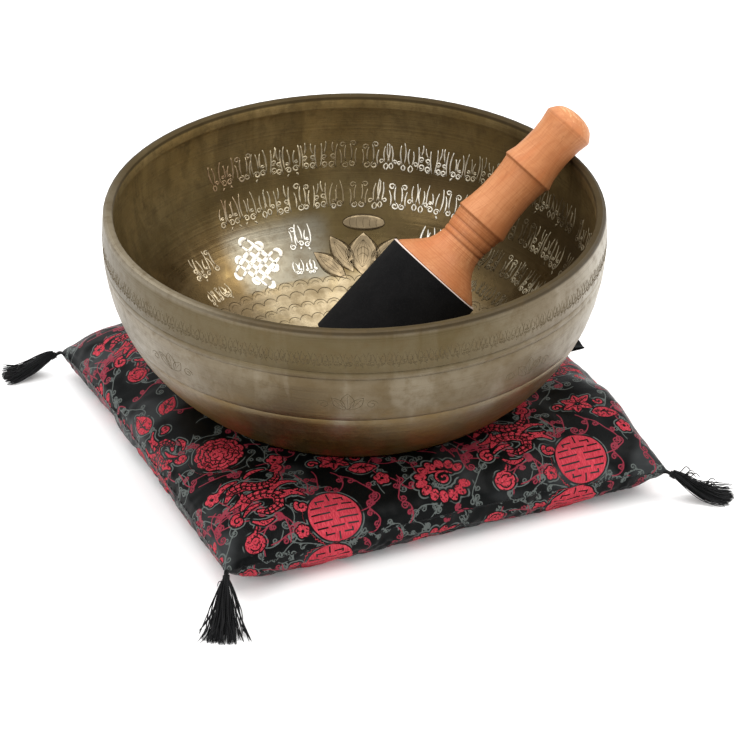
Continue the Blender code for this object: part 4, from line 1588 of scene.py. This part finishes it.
def make_tab():
    """Small tab of satin, folded over, that stands out of the seam at one side."""
    low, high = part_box("cushion_side_tab")
    middle_y, level = 0.5 * (low.y + high.y), 0.5 * (low.z + high.z)
    length, width = high.x - low.x, high.y - low.y
    points = []
    rows, across = TAB_CELLS
    for i in range(rows + 1):
        turn = math.pi * i / rows
        out = math.sin(turn) ** 0.55
        rise = math.cos(turn) * 0.0011 * (1.0 - 0.35 * out)
        pinch = 1.0 - 0.10 * (1.0 - out)
        for j in range(across + 1):
            share = j / across - 0.5
            wave = 0.0005 * math.cos(9.0 * share) * out + 0.0006 * share * out
            points.append((low.x + length * out, middle_y + share * width * pinch, level + rise + wave))
    faces = grid_faces(np.arange(len(points)).reshape(rows + 1, across + 1))
    tab = mesh_piece("side_tab", points, faces, BROCADE)
    shell = tab.modifiers.new("cloth", "SOLIDIFY")
    shell.thickness = 0.0005
    shell.offset = 0.0
    shape = tab.modifiers.new("soft", "SUBSURF")
    shape.levels = shape.render_levels = 1
    for name in ("figure", "halo", "grey_line", "red_line", "cut_line"):
        store(tab, name, np.full(len(points), FAR))
    for name in ("badge", "bloom"):
        store(tab, name, np.full((len(points), 3), AWAY))
    store(tab, "cloth", with_third(np.array(points)[:, :2] + TAB_CLOTH, 0.2))
    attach(tab, "cushion")
    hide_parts("cushion_side_tab")


# ---------------------------------------------------------------- tassels
def twisted_cord(points, faces, route):
    """Two plies wound round each other along a route."""
    last = len(route) - 1
    for ply in range(2):
        path = []
        for i, at in enumerate(route):
            along = direction_at(route, i)
            side = Vector((-along.y, along.x, 0.0)).normalized()
            turn = 2.0 * math.pi * (CORD_TURNS * i / last + 0.5 * ply)
            path.append(at + spoke(side, along.cross(side), turn) * 0.52 * CORD_RADIUS)
        tube(points, faces, path, [0.56 * CORD_RADIUS] * len(path), 6)


def tassel_loop(name, put, level, start_z):
    """The short cord that ties the tassel to the cushion's corner."""
    points, faces = [], []
    for lean in (-1.0, 1.0):
        marks = [put(-0.0011, 0.0002 * lean, start_z), put(0.0004, 0.0006 * lean, start_z + 0.0002),
                 put(HEAD_START + 0.0008, 0.0004 * lean, level(HEAD_START + 0.0010))]
        twisted_cord(points, faces, [Vector(p) for p in smooth_route(marks, 20)])
    return mesh_piece(f"tassel_{name}_loop", points, faces, CORD_BLACK)


def tassel_binding(name, put, level, side):
    """The tassel's neck with a thread wound round it."""
    points, faces = [], []
    cells = len(NECK_RADII) - 1
    reaches = np.linspace(HEAD_START - 0.0004, HEAD_END, cells + 1)
    neck = [Vector(put(r, 0.0, level(r))) for r in reaches]
    tube(points, faces, neck, NECK_RADII, 12)
    upward = (neck[-1] - neck[0]).normalized().cross(side)
    windings = []
    for k in range(BINDING_STEPS + 1):
        share = 0.15 + 0.7 * k / BINDING_STEPS
        cell = min(int(share * cells), cells - 1)
        at = neck[cell].lerp(neck[cell + 1], share * cells - cell)
        turn = 2.0 * math.pi * BINDING_TURNS * k / BINDING_STEPS
        windings.append(at + spoke(side, upward, turn) * BINDING_RADIUS)
    tube(points, faces, windings, [0.00027] * len(windings), 5)
    return mesh_piece(f"tassel_{name}_binding", points, faces, CORD_BLACK)


def tassel_threads(name, put, level, shape, rng):
    """The loose threads, gathered into locks, and the frayed ones that stand out of them."""
    sideways, fan, length, frayed = shape
    points, faces = [], []
    locks = [rng.uniform(-1.0, 1.0) for _ in range(LOCKS)]
    for _ in range(STRANDS):
        spread = rng.gauss(0.0, 0.34) if rng.random() < 0.76 else rng.uniform(-1.0, 1.0)
        spread = max(-1.0, min(1.0, spread))
        layer = rng.random()
        end = length * rng.uniform(0.90, 1.0) if rng.random() < 0.8 else length * rng.uniform(0.70, 0.92)
        end *= 1.0 - 0.07 * spread * spread
        spread += LOCK_PULL * (min(locks, key=lambda lock: abs(lock - spread)) - spread)
        wave = rng.uniform(-1.0, 1.0) * (0.0014 + 0.0012 * abs(spread))
        phase = rng.uniform(0.0, math.pi)
        lift = rng.uniform(0.001, 0.006) if rng.random() < 0.07 else 0.0
        marks = []
        for share in (0.0, 0.14, 0.34, 0.56, 0.78, 1.0):
            reach = (HEAD_END - 0.0016) * (1.0 - share) + end * share
            opening = share ** 0.85
            belly = math.sin(math.pi * min(1.0, share + 0.12) ** 0.8)
            thick = 0.0010 + 0.0052 * belly * (1.0 - 0.5 * spread ** 2)
            across = fan * spread * opening + sideways * share ** 1.3 + 0.0008 * spread * (1.0 - opening)
            across += wave * share * math.sin(phase + 6.0 * share)
            marks.append(put(reach, across, level(reach) + thick * (layer - 0.25) + lift * share))
        route = smooth_route(marks, 12)
        radius = rng.uniform(0.00022, 0.00034)
        for at in route:
            at[2] = max(at[2], radius + 0.0001)
        tube(points, faces, route, [radius] * 11 + [0.8 * radius, 0.35 * radius], 4)
    for _ in range(frayed):
        reach = rng.uniform(0.0070, 0.0230)
        share = reach / length
        across = fan * rng.uniform(-0.8, 0.8) * share + sideways * share
        tall = rng.uniform(0.0020, 0.0046)
        curl = rng.uniform(-1.0, 1.0) * 0.0025
        base = level(reach) + 0.0034
        marks = [put(reach - 0.003, across, base - 0.0016),
                 put(reach, across + 0.3 * curl, base + 0.5 * tall),
                 put(reach + 0.0020, across + curl, base + tall),
                 put(reach + 0.0042, across + 1.3 * curl, base + 0.55 * tall)]
        tube(points, faces, smooth_route(marks, 9), [0.00024] * 9 + [0.00012], 4)
    return mesh_piece(f"tassel_{name}_threads", points, faces, STRAND_BLACK)


def make_tassel(name, degrees, sideways, fan, length, start_z, frayed, seed):
    """Short cord, bound neck and loose threads, lying outwards from a corner of the cushion."""
    out = Vector((math.cos(math.radians(degrees)), math.sin(math.radians(degrees)), 0.0))
    side = Vector((-out.y, out.x, 0.0))
    head_low, head_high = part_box(f"tassel_{name}_head")
    corner = 0.5 * (head_low + head_high) - out * CAD_HEAD_MIDDLE

    def put(reach, across, height):
        flat = corner + out * reach + side * across
        return (flat.x, flat.y, height)

    def level(reach):
        return start_z * math.exp(-((reach / THREAD_DROP) ** 1.7))

    loop = tassel_loop(name, put, level, start_z)
    binding = tassel_binding(name, put, level, side)
    shape = (sideways, fan, length, frayed)
    threads = tassel_threads(name, put, level, shape, random.Random(seed))
    for piece, node, slot in ((loop, "cord", "black_cord"), (binding, "head", "black_cord"),
                              (threads, "skirt", "black_thread")):
        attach(piece, f"tassel_{name}")
        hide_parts(f"tassel_{name}_{node}")


make_seam(RIM)
make_tab()
for number, tassel in enumerate(TASSELS):
    make_tassel(*tassel, TASSEL_SEED + number)


# ---------------------------------------------------------------- floor, light and camera
def pale_floor():
    n = Nodes("studio_floor")
    return n.finish(Base_Color=(0.93, 0.93, 0.93), Roughness=0.9, Specular_IOR_Level=0.1,
                    Emission_Color=(1.0, 1.0, 1.0), Emission_Strength=0.07)


def placed(name, data, away, position):
    """A light or a camera at a position, looking back along the direction away."""
    holder = bpy.data.objects.new(name, data)
    bpy.context.scene.collection.objects.link(holder)
    holder.location = position
    holder.rotation_mode = "QUATERNION"
    holder.rotation_quaternion = away.to_track_quat("Z", "Y")
    return holder


def light(name, direction, distance, width, height, power, colour):
    lamp = bpy.data.lights.new(name, "AREA")
    lamp.shape = "RECTANGLE"
    lamp.size = width
    lamp.size_y = height
    lamp.energy = power
    lamp.color = colour
    away = Vector(direction).normalized()
    placed(name, lamp, away, away * distance + LIGHT_HEIGHT * UP)


def studio():
    half = 6.0
    floor_z = min(CAD_BOX[0].z, 0.0) - 0.0001
    corners = [(-half, -half, floor_z), (half, -half, floor_z), (half, half, floor_z), (-half, half, floor_z)]
    mesh_piece("studio_floor", corners, [(0, 1, 2, 3)], pale_floor(), smooth=False)
    world = bpy.data.worlds.new("studio")
    world.use_nodes = True
    world.node_tree.nodes["Background"].inputs["Color"].default_value = (1.0, 1.0, 1.0, 1.0)
    world.node_tree.nodes["Background"].inputs["Strength"].default_value = WORLD_STRENGTH
    bpy.context.scene.world = world
    bpy.context.scene.view_settings.view_transform = "Standard"
    for softbox in SOFTBOXES:
        light(*softbox)


def camera():
    data = bpy.data.cameras.new("photo_angle")
    data.lens = CAMERA_LENS
    data.sensor_width = 36.0
    data.clip_end = 20.0
    level = math.cos(CAMERA_ELEVATION)
    away = Vector((math.sin(CAMERA_AZIMUTH) * level, -math.cos(CAMERA_AZIMUTH) * level,
                   math.sin(CAMERA_ELEVATION)))
    position = Vector(CAMERA_TARGET) + away * CAMERA_DISTANCE
    bpy.context.scene.camera = placed("photo_angle", data, away, position)


studio()
camera()
